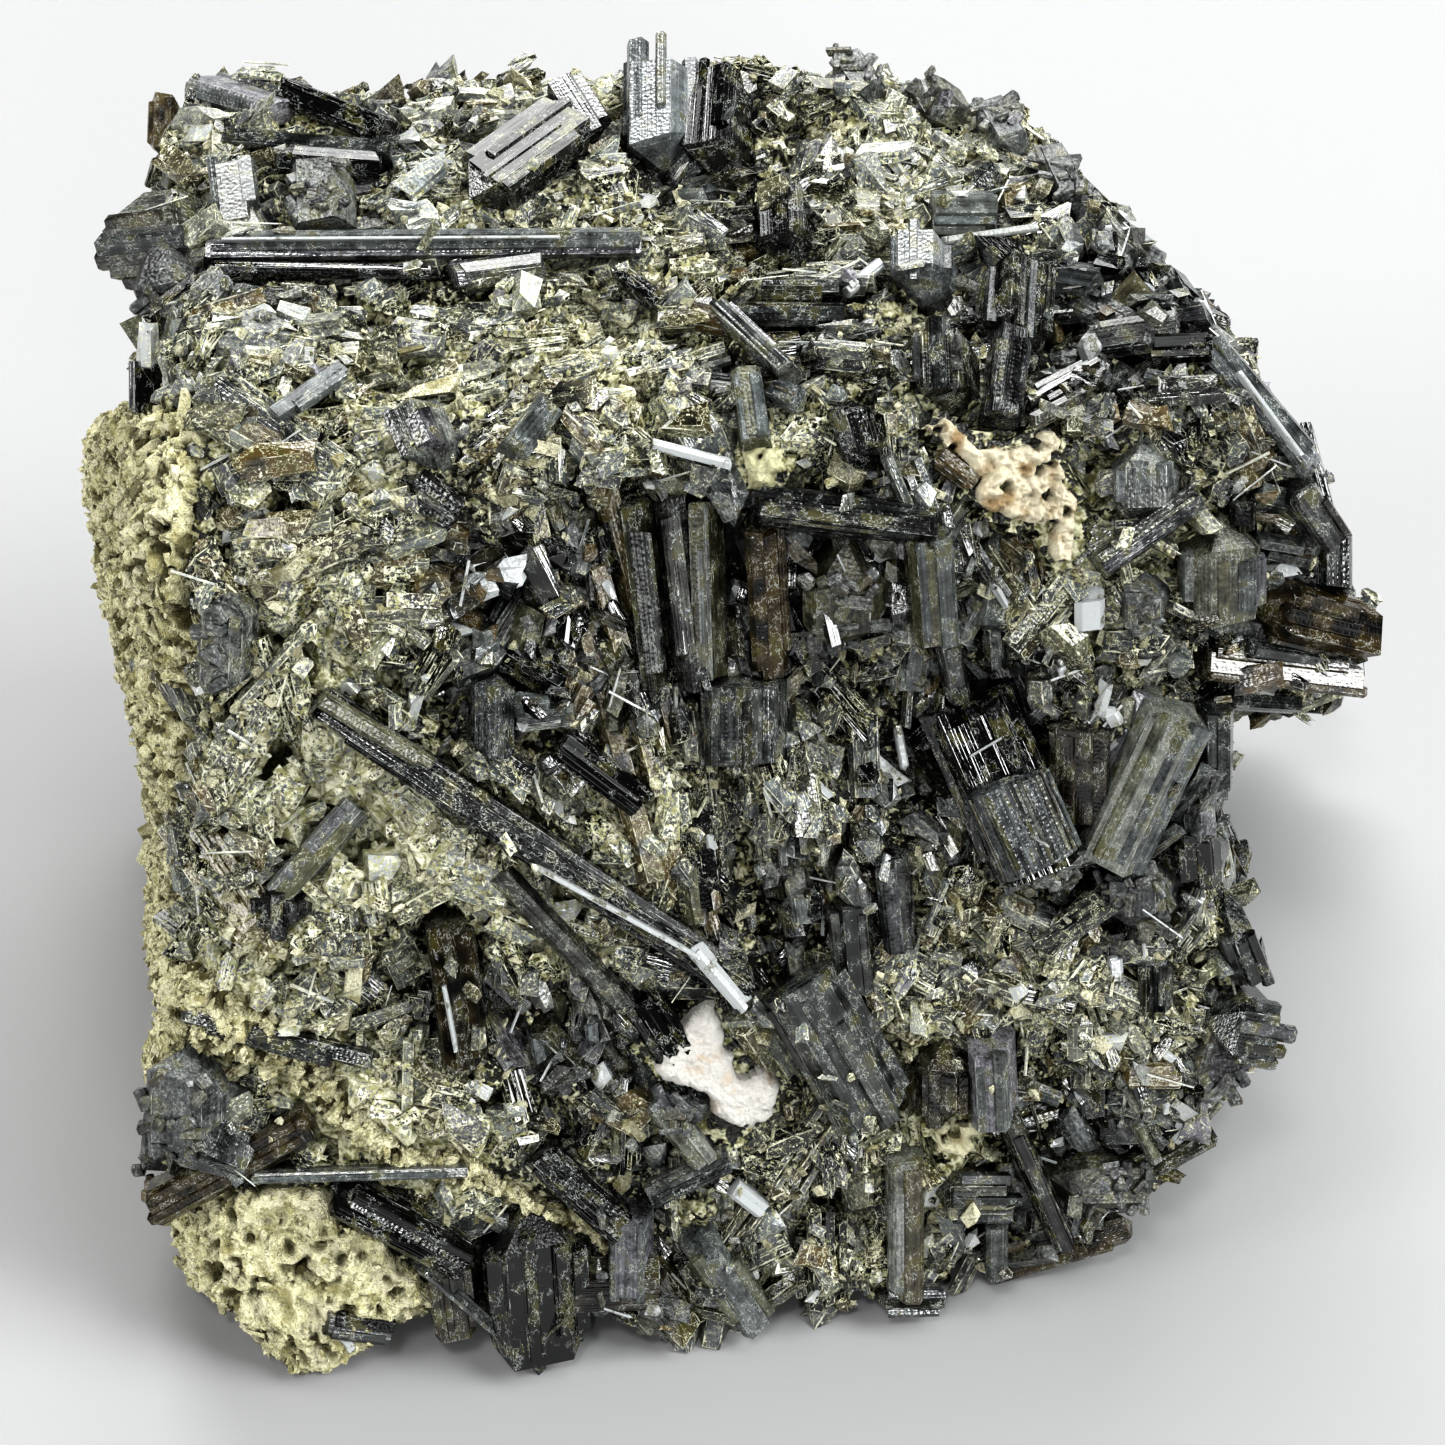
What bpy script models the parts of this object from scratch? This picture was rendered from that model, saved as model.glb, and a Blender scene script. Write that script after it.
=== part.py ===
import math

import bmesh
import bpy
import numpy as np
from mathutils import Matrix, Vector, noise
from mathutils.bvhtree import BVHTree
from mathutils.kdtree import KDTree

# An epidote crystal cluster: one dark mass of intergrown prisms, a granular
# crust on its left side, a calcite patch and three feldspar patches.
# Lengths below are in millimetres and are turned into metres at the end.

# Driving dimensions
MM = 0.001
BLOCK_WIDTH = 125.0
BLOCK_HEIGHT = 86.0
FITTING_GAP = 0.3
BURIED_FOOT = 3.0
REST_BOX = (300.0, 300.0, 40.0)

# How the photograph sees the block, so that positions read on it can be used
PHOTO_SIDE = 1445
PHOTO_SCALE = BLOCK_WIDTH / 1282
VIEW_ELEVATION = math.radians(42)
VIEW_DISTANCE = 330.0
VIEW_TARGET = Vector((0, 0, 44))
TOWARDS_VIEWER = Vector((0, -math.cos(VIEW_ELEVATION), math.sin(VIEW_ELEVATION)))
VIEW_UP = Vector((0, math.sin(VIEW_ELEVATION), math.cos(VIEW_ELEVATION)))
VIEW_RIGHT = Vector((1, 0, 0))
VIEWER = VIEW_TARGET + TOWARDS_VIEWER * VIEW_DISTANCE
RAY_STEPS = 500
EDGE_STEPS = 100
SMALLEST_CROSS = 1e-12

# The block is a rounded polyhedron about this heart: each face is a normal and a point on it
HEART = Vector((0, 8, 47))
EDGE_SHARPNESS = 13
BLOCK_FACES = (
    ((0.02, -0.04, 1), (0, 20, BLOCK_HEIGHT + 1)),
    ((0.12, -0.92, 0.377), (0, -42, 0)),
    ((-1, -0.27, 0.12), (-49.4, -30, 43)),
    ((-0.75, 0.6, -0.1), (-65, 43, 40)),
    ((-0.6, -0.78, -0.05), (-52.5, -46.5, 3)),
    ((1, -0.1, 0.15), (64, 0, 60)),
    ((0.8, 0.45, 0.35), (52, 33, 66)),
    ((0, 1, 0.06), (0, 56, 60)),
    ((0, 0.6, -0.8), (0, 40, 4)),
    ((0, 0, -1), (0, 0, -BURIED_FOOT)),
)
LUMP_SHARE = 0.05
LUMP_SIZES = (17.0, 8.0)

# Outline of the block in the photograph, in pixels, without the crystals that jut from it
OUTLINE = (
    (128, 270), (150, 205), (160, 150), (172, 100), (196, 80), (222, 70), (290, 84), (366, 102),
    (430, 82), (484, 75), (519, 75), (560, 77), (598, 81), (629, 97), (640, 74), (668, 48),
    (700, 54), (745, 68), (790, 76), (828, 78), (846, 64), (880, 66), (909, 84), (946, 82),
    (965, 96), (1006, 101), (1018, 120), (1046, 138), (1066, 174), (1090, 204), (1117, 226),
    (1142, 250), (1168, 282), (1192, 302), (1200, 326), (1230, 346), (1264, 396), (1296, 440),
    (1316, 474), (1328, 520), (1340, 540), (1343, 580), (1350, 612), (1340, 650), (1344, 676),
    (1330, 692), (1288, 694), (1270, 708), (1230, 709), (1227, 748), (1211, 780), (1210, 820),
    (1226, 862), (1225, 896), (1240, 946), (1256, 986), (1262, 1020), (1256, 1050), (1232, 1074),
    (1209, 1102), (1200, 1140), (1168, 1162), (1132, 1178), (1126, 1218), (1080, 1256),
    (1040, 1268), (976, 1266), (942, 1312), (887, 1319), (820, 1314), (760, 1322), (726, 1328),
    (700, 1318), (660, 1330), (616, 1298), (590, 1300), (560, 1330), (500, 1336), (446, 1302),
    (396, 1312), (370, 1340), (336, 1362), (296, 1378), (268, 1349), (233, 1308), (190, 1276),
    (180, 1234), (158, 1200), (150, 1160), (150, 1110), (152, 1060), (164, 1012), (151, 944),
    (153, 880), (151, 780), (139, 724), (122, 645), (104, 578), (96, 510), (91, 456), (97, 428),
    (114, 413), (134, 405), (138, 367), (149, 332), (158, 312), (150, 292),
)

# Dark hollows between the crystals: the middle in pixels, then the radius and the depth
HOLLOWS = (
    ((662, 565), 8, 7),
    ((500, 590), 5, 4),
    ((1092, 318), 5, 5),
    ((955, 715), 7, 5),
    ((408, 965), 5, 5),
    ((275, 1115), 6, 5),
    ((1010, 1235), 5, 4),
    ((735, 900), 5, 4),
    ((820, 700), 5, 3),
    ((600, 300), 4, 2),
    ((1130, 900), 5, 3),
    ((560, 1010), 4, 3),
)

# Crystals seen in the photograph. Each row holds the two ends of the axis and the width in
# pixels, then the thickness, the height of the axis over the block at either end, the roll in
# degrees and the form of the ends.
CRYSTALS = (
    # Back left corner
    ((206, 88), (285, 112), 28, 4, 0.6, 1.0, 20, "flat"),
    ((286, 92), (388, 132), 30, 4, 1.6, 1.2, 0, "flat"),
    ((226, 138), (392, 152), 22, 3.5, 1.0, 1.2, 0, "flat"),
    ((275, 158), (380, 166), 28, 4, 1.6, 1.2, 15, "chisel"),
    ((233, 176), (240, 232), 46, 6, 0.6, 0.6, 0, "flat"),
    ((322, 178), (324, 232), 62, 6, 0.4, 0.4, 10, "flat"),
    ((116, 242), (212, 232), 84, 10, 0.4, -1.0, 25, "chisel"),
    ((136, 284), (196, 268), 48, 8, 0.0, -1.0, 40, "chisel"),
    ((208, 250), (640, 246), 25, 4, 1.4, 0.6, 10, "flat"),
    ((168, 100), (166, 158), 30, 6, 0.6, 0.6, 0, "chisel"),
    ((149, 364), (149, 412), 32, 6, 0.0, 0.0, 0, "flat"),
    ((206, 86), (236, 98), 30, 6, 0.0, 0.0, 30, "chisel"),
    # Back and top
    ((270, 420), (334, 376), 24, 4, 1.0, 1.0, 0, "flat"),
    ((452, 276), (541, 264), 26, 4, 1.0, 1.0, 20, "flat"),
    ((462, 182), (508, 140), 26, 3, 1.0, 1.0, 0, "flat"),
    ((668, 62), (668, 172), 72, 11, 0.0, 0.6, 20, "chisel"),
    ((725, 84), (718, 178), 60, 9, -0.4, 0.4, 30, "chisel"),
    ((560, 86), (600, 150), 40, 6, 0.2, 0.2, 0, "chisel"),
    ((786, 196), (790, 268), 56, 8, 0.8, 0.8, 20, "chisel"),
    ((762, 289), (833, 289), 22, 4, 1.4, 1.4, 0, "flat"),
    ((742, 311), (842, 312), 20, 4, 1.0, 1.0, 0, "flat"),
    ((924, 242), (924, 302), 62, 7, 0.8, 0.8, 20, "chisel"),
    ((1016, 268), (1010, 362), 74, 8, 1.2, 0.8, -15, "chisel"),
    ((1010, 350), (1000, 424), 44, 6, 0.6, 0.4, 0, "flat"),
    ((945, 338), (948, 412), 62, 7, 0.6, 0.6, 15, "chisel"),
    ((930, 212), (996, 212), 42, 6, 0.6, 0.6, 10, "flat"),
    ((746, 372), (757, 450), 34, 5, 1.2, 1.2, 0, "flat"),
    ((720, 310), (790, 375), 26, 4, 1.2, 1.2, 0, "flat"),
    ((624, 275), (668, 310), 24, 4, 1.0, 1.0, 0, "flat"),
    ((848, 66), (872, 104), 44, 6, -0.4, 0.4, 0, "chisel"),
    ((930, 88), (956, 130), 46, 6, -0.4, 0.4, 20, "chisel"),
    ((988, 108), (1018, 158), 42, 6, -0.4, 0.4, 0, "chisel"),
    ((1052, 162), (1078, 218), 38, 6, -0.4, 0.2, 0, "chisel"),
    # Right slope and the ledge that juts to the right
    ((1206, 345), (1312, 470), 32, 5, 0.4, 0.4, 0, "flat"),
    ((1155, 352), (1212, 350), 34, 5, 0.8, 0.8, 0, "flat"),
    ((1146, 442), (1146, 518), 70, 6, 0.8, 0.8, 10, "chisel"),
    ((1098, 566), (1198, 496), 32, 5, 1.6, 1.6, 0, "flat"),
    ((1220, 516), (1220, 624), 84, 7, 0.6, 0.6, -10, "chisel"),
    ((1332, 530), (1332, 588), 42, 6, -1.0, -1.0, 0, "flat"),
    ((1254, 602), (1360, 628), 68, 8, 0.4, -0.6, 10, "chisel"),
    ((1240, 642), (1336, 656), 20, 4, 1.0, 0.4, 0, "flat"),
    ((1200, 662), (1354, 680), 34, 5, 0.4, -0.4, 0, "flat"),
    ((1145, 574), (1145, 632), 46, 6, 0.6, 0.6, 20, "chisel"),
    ((1290, 480), (1330, 540), 40, 6, 0.0, -0.4, 0, "chisel"),
    ((1300, 430), (1322, 512), 26, 5, -0.2, -0.4, 0, "flat"),
    # Middle of the front
    ((636, 500), (658, 684), 26, 5, 0.0, 0.2, 20, "flat"),
    ((668, 494), (690, 680), 28, 5, 0.2, 0.4, -20, "flat"),
    ((706, 500), (712, 676), 26, 5, 0.6, 0.6, 25, "flat"),
    ((764, 524), (772, 662), 36, 5, 0.6, 0.6, 0, "flat"),
    ((744, 680), (744, 764), 80, 8, 0.8, 0.8, 0, "flat"),
    ((508, 452), (545, 404), 24, 4, 1.0, 1.0, 0, "flat"),
    ((496, 676), (496, 756), 50, 6, 0.8, 0.8, 10, "chisel"),
    ((758, 505), (934, 526), 48, 7, 0.6, 0.6, 0, "flat"),
    ((924, 528), (932, 636), 46, 7, 1.2, 1.2, 0, "flat"),
    ((944, 634), (956, 692), 24, 4, 1.0, 1.0, 0, "flat"),
    ((846, 546), (846, 638), 96, 7, 0.4, 0.4, 10, "chisel"),
    ((230, 590), (226, 690), 52, 6, 0.6, 0.6, 15, "chisel"),
    ((400, 480), (456, 520), 40, 5, 0.6, 0.6, 0, "chisel"),
    ((410, 400), (440, 470), 50, 6, 0.4, 0.4, 25, "chisel"),
    ((850, 400), (870, 470), 50, 6, 0.4, 0.4, 15, "chisel"),
    # Right half of the front
    ((968, 692), (1042, 862), 104, 10, 0.0, 1.2, 0, "flat"),
    ((1078, 726), (1078, 816), 60, 5, 0.4, 0.4, 20, "flat"),
    ((1108, 846), (1176, 704), 78, 10, 0.8, 0.8, 0, "flat"),
    ((1213, 700), (1213, 778), 42, 7, -0.4, -0.4, 0, "flat"),
    ((1200, 822), (1204, 876), 50, 7, -0.4, -0.4, 15, "chisel"),
    ((1206, 1018), (1274, 1030), 80, 9, 0.2, -0.8, 10, "chisel"),
    ((1034, 842), (1034, 886), 96, 7, 0.6, 0.6, 0, "chisel"),
    ((1140, 850), (1140, 930), 80, 8, 0.2, 0.2, 20, "chisel"),
    ((1152, 958), (1152, 1008), 36, 5, 0.8, 0.8, 0, "flat"),
    ((1226, 910), (1252, 974), 36, 7, -0.4, -0.4, 0, "chisel"),
    ((640, 990), (700, 1085), 40, 5, 0.2, 0.2, 0, "flat"),
    ((890, 850), (900, 940), 40, 5, 0.4, 0.4, 0, "flat"),
    ((850, 900), (858, 985), 36, 5, 0.4, 0.4, 0, "flat"),
    # The long diagonal prism and its neighbours
    ((318, 700), (745, 985), 34, 6, 2.0, 2.2, 8, "flat"),
    ((500, 870), (632, 1010), 26, 4, 0.8, 1.0, 0, "flat"),
    ((278, 895), (356, 806), 34, 5, 0.8, 0.8, 0, "flat"),
    ((284, 878), (284, 934), 58, 6, 0.6, 0.6, 15, "chisel"),
    ((183, 1012), (372, 1060), 22, 4, 1.2, 1.2, 0, "flat"),
    ((446, 920), (462, 1058), 46, 6, 0.4, 0.8, 0, "flat"),
    ((196, 1046), (196, 1138), 92, 10, 0.4, 0.4, 15, "chisel"),
    ((166, 1096), (160, 1166), 40, 7, -0.4, -0.4, 0, "chisel"),
    ((560, 740), (640, 800), 34, 4, 0.6, 0.6, 0, "flat"),
    # Lower left corner
    ((156, 1204), (312, 1120), 44, 6, 0.6, 1.2, 10, "flat"),
    ((253, 1176), (466, 1170), 15, 4, 1.6, 1.8, 0, "flat"),
    ((332, 1184), (472, 1258), 46, 7, 1.2, 1.2, 10, "chisel"),
    ((322, 1318), (388, 1326), 32, 5, 0.6, 0.2, 0, "flat"),
    ((448, 1256), (456, 1320), 50, 6, 0.2, 0.2, 0, "flat"),
    # Foot of the front
    ((528, 1204), (538, 1352), 108, 10, 0.4, -1.0, -8, "chisel"),
    ((420, 1260), (540, 1368), 20, 4, 1.2, 0.4, 0, "flat"),
    ((582, 1236), (586, 1326), 20, 5, 1.0, 0.0, 0, "flat"),
    ((656, 1098), (704, 1158), 34, 5, 1.0, 1.0, 0, "flat"),
    ((650, 1194), (728, 1157), 30, 5, 0.8, 0.8, 0, "flat"),
    ((700, 1240), (752, 1314), 42, 6, 0.8, 0.2, 0, "flat"),
    ((633, 1210), (633, 1292), 36, 6, 0.6, 0.6, 15, "flat"),
    ((686, 1080), (686, 1126), 56, 6, 0.8, 0.8, 20, "chisel"),
    ((540, 1152), (622, 1226), 40, 5, 0.8, 0.8, 0, "flat"),
    ((797, 978), (872, 1108), 86, 9, 1.6, 1.4, 0, "flat"),
    ((1004, 1108), (1062, 1238), 28, 5, 1.0, 1.0, 0, "flat"),
    ((990, 1038), (994, 1118), 48, 7, 0.8, 0.8, 10, "flat"),
    ((944, 1044), (944, 1120), 60, 6, 0.6, 0.6, 15, "chisel"),
    ((936, 1192), (1012, 1192), 50, 6, 0.8, 0.8, 10, "chisel"),
    ((904, 1150), (904, 1288), 42, 6, 0.6, 0.4, 0, "flat"),
    ((1050, 1176), (1140, 1176), 62, 7, 0.6, 0.2, 10, "chisel"),
    ((978, 1266), (1130, 1222), 38, 6, 0.0, 0.0, 0, "chisel"),
    ((996, 1218), (996, 1268), 24, 4, 1.4, 1.4, 0, "flat"),
    ((1138, 1164), (1204, 1128), 38, 6, 0.2, -0.6, 0, "flat"),
    ((1218, 1028), (1222, 1088), 70, 7, 0.2, 0.0, 15, "chisel"),
    ((876, 1296), (946, 1294), 32, 6, 0.2, 0.0, 0, "chisel"),
)
MISSED_SINK = 3.0
EMBEDDING = 1.6

# Crystals on the sides that the photograph doesn't show, as count, seed and ranges
HIDDEN_COUNT = 44
HIDDEN_SEED = 11
HIDDEN_LENGTH = (9.0, 22.0)
HIDDEN_WIDTH = (3.5, 7.0)
HIDDEN_FLATNESS = 0.8
HIDDEN_TILT = 0.35
HIDDEN_ROLL = 60
HIDDEN_FACING = 0.35
HIDDEN_LOWEST = 6.0
HIDDEN_RISE = 0.15

# Cross-section of a crystal, for a width and a thickness of one: a flattened six-sided prism
SECTION = ((-0.5, -0.1), (-0.3, 0.5), (0.27, 0.5), (0.5, 0.12), (0.3, -0.5), (-0.28, -0.5))
NARROW_SECTION = ((-0.5, 0.3), (0.1, 0.5), (0.5, -0.3), (-0.3, -0.5))
NARROW_WIDTH = 3.3
END_CAPS = {
    (6, "flat"): ((0, 1, 2, 3, 4, 5),),
    (6, "chisel"): ((0, 1, 5), (1, 2, 4), (1, 4, 5), (2, 3, 4)),
    (4, "flat"): ((0, 1, 2, 3),),
    (4, "chisel"): ((0, 1, 3), (1, 2, 3)),
}
END_SLOPE = {"flat": 0.12, "chisel": 0.8}
END_SHARE = 0.55
STEEPEST_SHARE = 0.35

# The granular crust on the left side: the region that it covers in pixels, how far back it
# runs, its thickness and its own roughness
CRUST_REGION = (
    (40, 408), (204, 404), (184, 560), (180, 700), (174, 850), (170, 985), (176, 1012),
    (186, 1100), (192, 1186), (330, 1192), (442, 1292), (460, 1420), (40, 1420),
)
CRUST_BACK = 40.0
CRUST_THICKNESS = 5.0
CRUST_RIM = 1.2
CRUST_ROUGHNESS = 1.1
CRUST_GRAIN = 3.1

# Patches of pale mineral: how far they follow the block, their bumps, and the height of their
# shoulder and the width of their crown as shares
PATCH_RELIEF = 3.0
PATCH_BUMP = 0.5
PATCH_TURN = 2.3
PATCH_SHOULDER = 0.3
PATCH_CROWN = 0.6

# Each patch's outline and middle in pixels, its height over the block and its depth into it
PATCHES = {
    "calcite_patch": (
        ((716, 998), (690, 1016), (662, 1036), (654, 1070), (676, 1082), (702, 1088), (714, 1108),
         (738, 1127), (764, 1120), (777, 1096), (774, 1072), (748, 1074), (730, 1056), (722, 1034)),
        (722, 1078), 2.2, 2.5,
    ),
    "feldspar_patch": (
        ((926, 424), (948, 420), (968, 434), (992, 444), (1014, 450), (1038, 436), (1058, 432),
         (1062, 456), (1066, 484), (1080, 520), (1072, 546), (1054, 540), (1034, 516),
         (1012, 520), (984, 512), (976, 484), (954, 458)),
        (1016, 482), 1.6, 2.5,
    ),
    "feldspar_bit_upper": (
        ((742, 452), (760, 444), (780, 450), (784, 472), (768, 492), (744, 490)),
        (762, 468), 1.4, 2.0,
    ),
    "feldspar_bit_lower": (
        ((928, 1126), (952, 1118), (978, 1122), (986, 1140), (964, 1160), (936, 1158)),
        (956, 1140), 1.4, 2.0,
    ),
}

# Mesh fineness
GRID_CELLS = 30
BLOCK_TRIANGLES = 1900
SHORTEST_EDGE = 0.02
CLEANING_ROUNDS = 3

# The block is moved by this so that the middle of its box lies over the origin
CENTRING = Vector((-1.35, -9.08, 0))

# Colour, roughness and metallic of each piece
FINISHES = {
    "epidote_crystals": ((0.018, 0.022, 0.014), 0.3),
    "granular_crust": ((0.42, 0.4, 0.17), 0.9),
    "calcite_patch": ((0.78, 0.75, 0.68), 0.8),
    "feldspar_patch": ((0.72, 0.62, 0.5), 0.75),
    "feldspar_bit_upper": ((0.6, 0.58, 0.4), 0.75),
    "feldspar_bit_lower": ((0.7, 0.68, 0.5), 0.75),
}


def on_photo(pixel):
    """The unit direction in which the viewer sees a pixel."""
    across = (pixel[0] - PHOTO_SIDE / 2) * PHOTO_SCALE
    above = (PHOTO_SIDE / 2 - pixel[1]) * PHOTO_SCALE
    return (VIEW_RIGHT * across + VIEW_UP * above - TOWARDS_VIEWER * VIEW_DISTANCE).normalized()


def outline_distance(directions):
    """How far each direction from the heart runs before it leaves the outline of the photograph."""
    from_viewer = HEART - VIEWER
    depth = -from_viewer.dot(TOWARDS_VIEWER)
    right = from_viewer.dot(VIEW_RIGHT)
    above = from_viewer.dot(VIEW_UP)
    away = -directions @ np.array(TOWARDS_VIEWER)
    step_u = directions @ np.array(VIEW_RIGHT) * depth - right * away
    step_v = directions @ np.array(VIEW_UP) * depth - above * away
    corners = (np.array(OUTLINE, float) - PHOTO_SIDE / 2) * (1, -1) * PHOTO_SCALE / VIEW_DISTANCE
    corners = corners - (right / depth, above / depth)
    edges = np.roll(corners, -1, axis=0) - corners
    cross = step_u[:, None] * edges[None, :, 1] - step_v[:, None] * edges[None, :, 0]
    cross[np.abs(cross) < SMALLEST_CROSS] = SMALLEST_CROSS
    reach = (corners[:, 0] * edges[:, 1] - corners[:, 1] * edges[:, 0])[None] / cross
    along = (corners[None, :, 0] * step_v[:, None] - corners[None, :, 1] * step_u[:, None]) / cross
    met = (reach > 0) & (along >= 0) & (along <= 1)
    nearest = np.where(met, reach, np.inf).min(axis=1)
    left = 1 - nearest * depth * away
    return np.where(left > 0, nearest * depth**2 / np.maximum(left, SMALLEST_CROSS), np.inf)


def block_distance(directions):
    """How far the surface of the block lies from its heart in each direction, without its hollows."""
    inverse = np.zeros(len(directions))
    for normal, point in BLOCK_FACES:
        normal = Vector(normal).normalized()
        offset = normal.dot(Vector(point) - HEART)
        inverse += np.maximum(directions @ np.array(normal) / offset, 0) ** EDGE_SHARPNESS
    distance = inverse ** (-1 / EDGE_SHARPNESS)
    return np.minimum(distance, outline_distance(directions))


def lumps(point):
    """Height of the rough surface at a point, as a share of its distance from the heart."""
    height = 0
    for size in LUMP_SIZES:
        height += noise.noise(point / size) * size / LUMP_SIZES[0]
    return LUMP_SHARE * height


def seen_on_block(pixel):
    """The point of the smooth block that a pixel shows."""
    ray = on_photo(pixel)
    point = VIEWER.copy()
    for _ in range(RAY_STEPS):
        offset = point - HEART
        surface = block_distance(np.array([offset.normalized()]))[0]
        if offset.length < surface:
            break
        point += ray
    return point


def sphere_grid(cells):
    """Directions and quads of a cube's grid that is blown up to a sphere."""
    mesh = bmesh.new()
    bmesh.ops.create_cube(mesh, size=2)
    bmesh.ops.subdivide_edges(mesh, edges=mesh.edges[:], cuts=cells - 1, use_grid_fill=True)
    mesh.verts.index_update()
    warped = [Vector([math.tan(axis * math.pi / 4) for axis in vert.co]) for vert in mesh.verts]
    directions = np.array([corner.normalized() for corner in warped])
    faces = [[vert.index for vert in face.verts] for face in mesh.faces]
    mesh.free()
    return directions, faces


def block_points(directions):
    """The rough surface of the block in the given directions."""
    distance = block_distance(directions)
    points = np.array(HEART) + directions * distance[:, None]
    rough = np.array([1 + lumps(Vector(point)) for point in points])
    distance = np.minimum(distance * rough, outline_distance(directions))
    points = np.array(HEART) + directions * distance[:, None]
    for pixel, radius, depth in HOLLOWS:
        middle = np.array(seen_on_block(pixel))
        near = np.exp(-(np.linalg.norm(points - middle, axis=1) / radius) ** 2)
        points = points - directions * (near * depth)[:, None]
    return points


def new_object(name, points, faces):
    mesh = bpy.data.meshes.new(name)
    mesh.from_pydata([tuple(point) for point in points], [], [tuple(face) for face in faces])
    thing = bpy.data.objects.new(name, mesh)
    bpy.context.scene.collection.objects.link(thing)
    return thing


def apply_modifiers(thing):
    """Applies the modifiers of a mesh and leaves it in triangles."""
    thing.modifiers.new("triangles", "TRIANGULATE")
    graph = bpy.context.evaluated_depsgraph_get()
    mesh = bpy.data.meshes.new_from_object(thing.evaluated_get(graph))
    thing.modifiers.clear()
    thing.data = mesh


def join_by(thing, operation, other):
    """A Boolean of two objects, applied to the first."""
    modifier = thing.modifiers.new(operation.lower(), "BOOLEAN")
    modifier.operation = operation
    modifier.solver = "EXACT"
    modifier.use_self = True
    modifier.object = other
    apply_modifiers(thing)


def joined(name, things):
    """One mesh of several."""
    points = []
    faces = []
    for thing in things:
        faces += [[index + len(points) for index in face.vertices] for face in thing.data.polygons]
        points += [vert.co[:] for vert in thing.data.vertices]
    return new_object(name, points, faces)


def shrink_short_edges(mesh):
    """Draws the two ends of each very short edge together, where the skin stays whole."""
    for _ in range(CLEANING_ROUNDS):
        for edge in [edge for edge in mesh.edges if edge.calc_length() < SHORTEST_EDGE]:
            if not edge.is_valid:
                continue
            first, second = edge.verts
            around_first = {other.other_vert(first) for other in first.link_edges}
            around_second = {other.other_vert(second) for other in second.link_edges}
            if len(around_first & around_second) == 2:
                bmesh.ops.pointmerge(mesh, verts=[first, second], merge_co=first.co)


def part_touching_corners(mesh):
    """Pulls apart corners that lie on each other but belong to different folds of the skin."""
    mesh.verts.ensure_lookup_table()
    mesh.normal_update()
    tree = KDTree(len(mesh.verts))
    for number, vert in enumerate(mesh.verts):
        tree.insert(vert.co, number)
    tree.balance()
    for number, vert in enumerate(mesh.verts):
        for _, other, distance in tree.find_range(vert.co.copy(), SHORTEST_EDGE):
            if other > number:
                vert.co -= vert.normal * SHORTEST_EDGE
                mesh.verts[other].co -= mesh.verts[other].normal * SHORTEST_EDGE * 2


def keep_largest(thing):
    """Drops every loose piece and every sealed hollow, and leaves the one outer skin."""
    mesh = bmesh.new()
    mesh.from_mesh(thing.data)
    left = set(mesh.faces)
    best = []
    while left:
        found = [left.pop()]
        for face in found:
            for edge in face.edges:
                for other in edge.link_faces:
                    if other in left:
                        left.remove(other)
                        found.append(other)
        if len(found) > len(best):
            best = found
    kept = set(best)
    bmesh.ops.delete(mesh, geom=[face for face in mesh.faces if face not in kept], context="FACES")
    shrink_short_edges(mesh)
    part_touching_corners(mesh)
    mesh.to_mesh(thing.data)
    mesh.free()


def photo_place(point):
    """The pixel at which the viewer sees a point."""
    offset = Vector(point) - VIEWER
    share = VIEW_DISTANCE / (-offset.dot(TOWARDS_VIEWER) * PHOTO_SCALE)
    half = PHOTO_SIDE / 2
    return half + offset.dot(VIEW_RIGHT) * share, half - offset.dot(VIEW_UP) * share


def inside(place, polygon):
    """Whether a pixel lies in a polygon."""
    found = False
    for (x0, y0), (x1, y1) in zip(polygon, polygon[1:] + polygon[:1]):
        if (y0 > place[1]) != (y1 > place[1]):
            if place[0] < x0 + (place[1] - y0) / (y1 - y0) * (x1 - x0):
                found = not found
    return found


def make_block():
    """The whole block as one mesh with few triangles."""
    directions, faces = sphere_grid(GRID_CELLS)
    block = new_object("block", block_points(directions), faces)
    thin = block.modifiers.new("thin", "DECIMATE")
    thin.ratio = BLOCK_TRIANGLES / (2 * len(faces))
    apply_modifiers(block)
    return block


def split_crust(block):
    """Takes the crust off the block's left side, and returns it as its own mesh."""
    mesh = block.data
    covered = set()
    for vert in mesh.vertices:
        if vert.co.y < CRUST_BACK and inside(photo_place(vert.co), CRUST_REGION):
            covered.add(vert.index)
    faces = [tuple(face.vertices) for face in mesh.polygons]
    skin = [face for face in faces if covered.issuperset(face)]
    skin = largest_patch(skin)
    used = sorted({index for face in skin for index in face})
    place = {index: i for i, index in enumerate(used)}
    edges = {(face[i - 1], face[i]) for face in skin for i in range(len(face))}
    rim = [edge for edge in edges if (edge[1], edge[0]) not in edges]
    at_rim = {edge[0] for edge in rim}
    outer = []
    inner = []
    for index in used:
        point = mesh.vertices[index].co.copy()
        inward = (HEART - point).normalized()
        thickness = CRUST_RIM if index in at_rim else CRUST_THICKNESS
        rough = 0 if index in at_rim else noise.noise(point / CRUST_GRAIN) * CRUST_ROUGHNESS
        outer.append(point - inward * rough)
        inner.append(point + inward * (thickness - FITTING_GAP))
        mesh.vertices[index].co = point + inward * thickness
    count = len(used)
    skin = [[place[index] for index in face] for face in skin]
    shell = skin + [[index + count for index in reversed(face)] for face in skin]
    for a, b in rim:
        shell.append([place[b], place[a], place[a] + count, place[b] + count])
    return new_object("granular_crust", outer + inner, shell)


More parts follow.
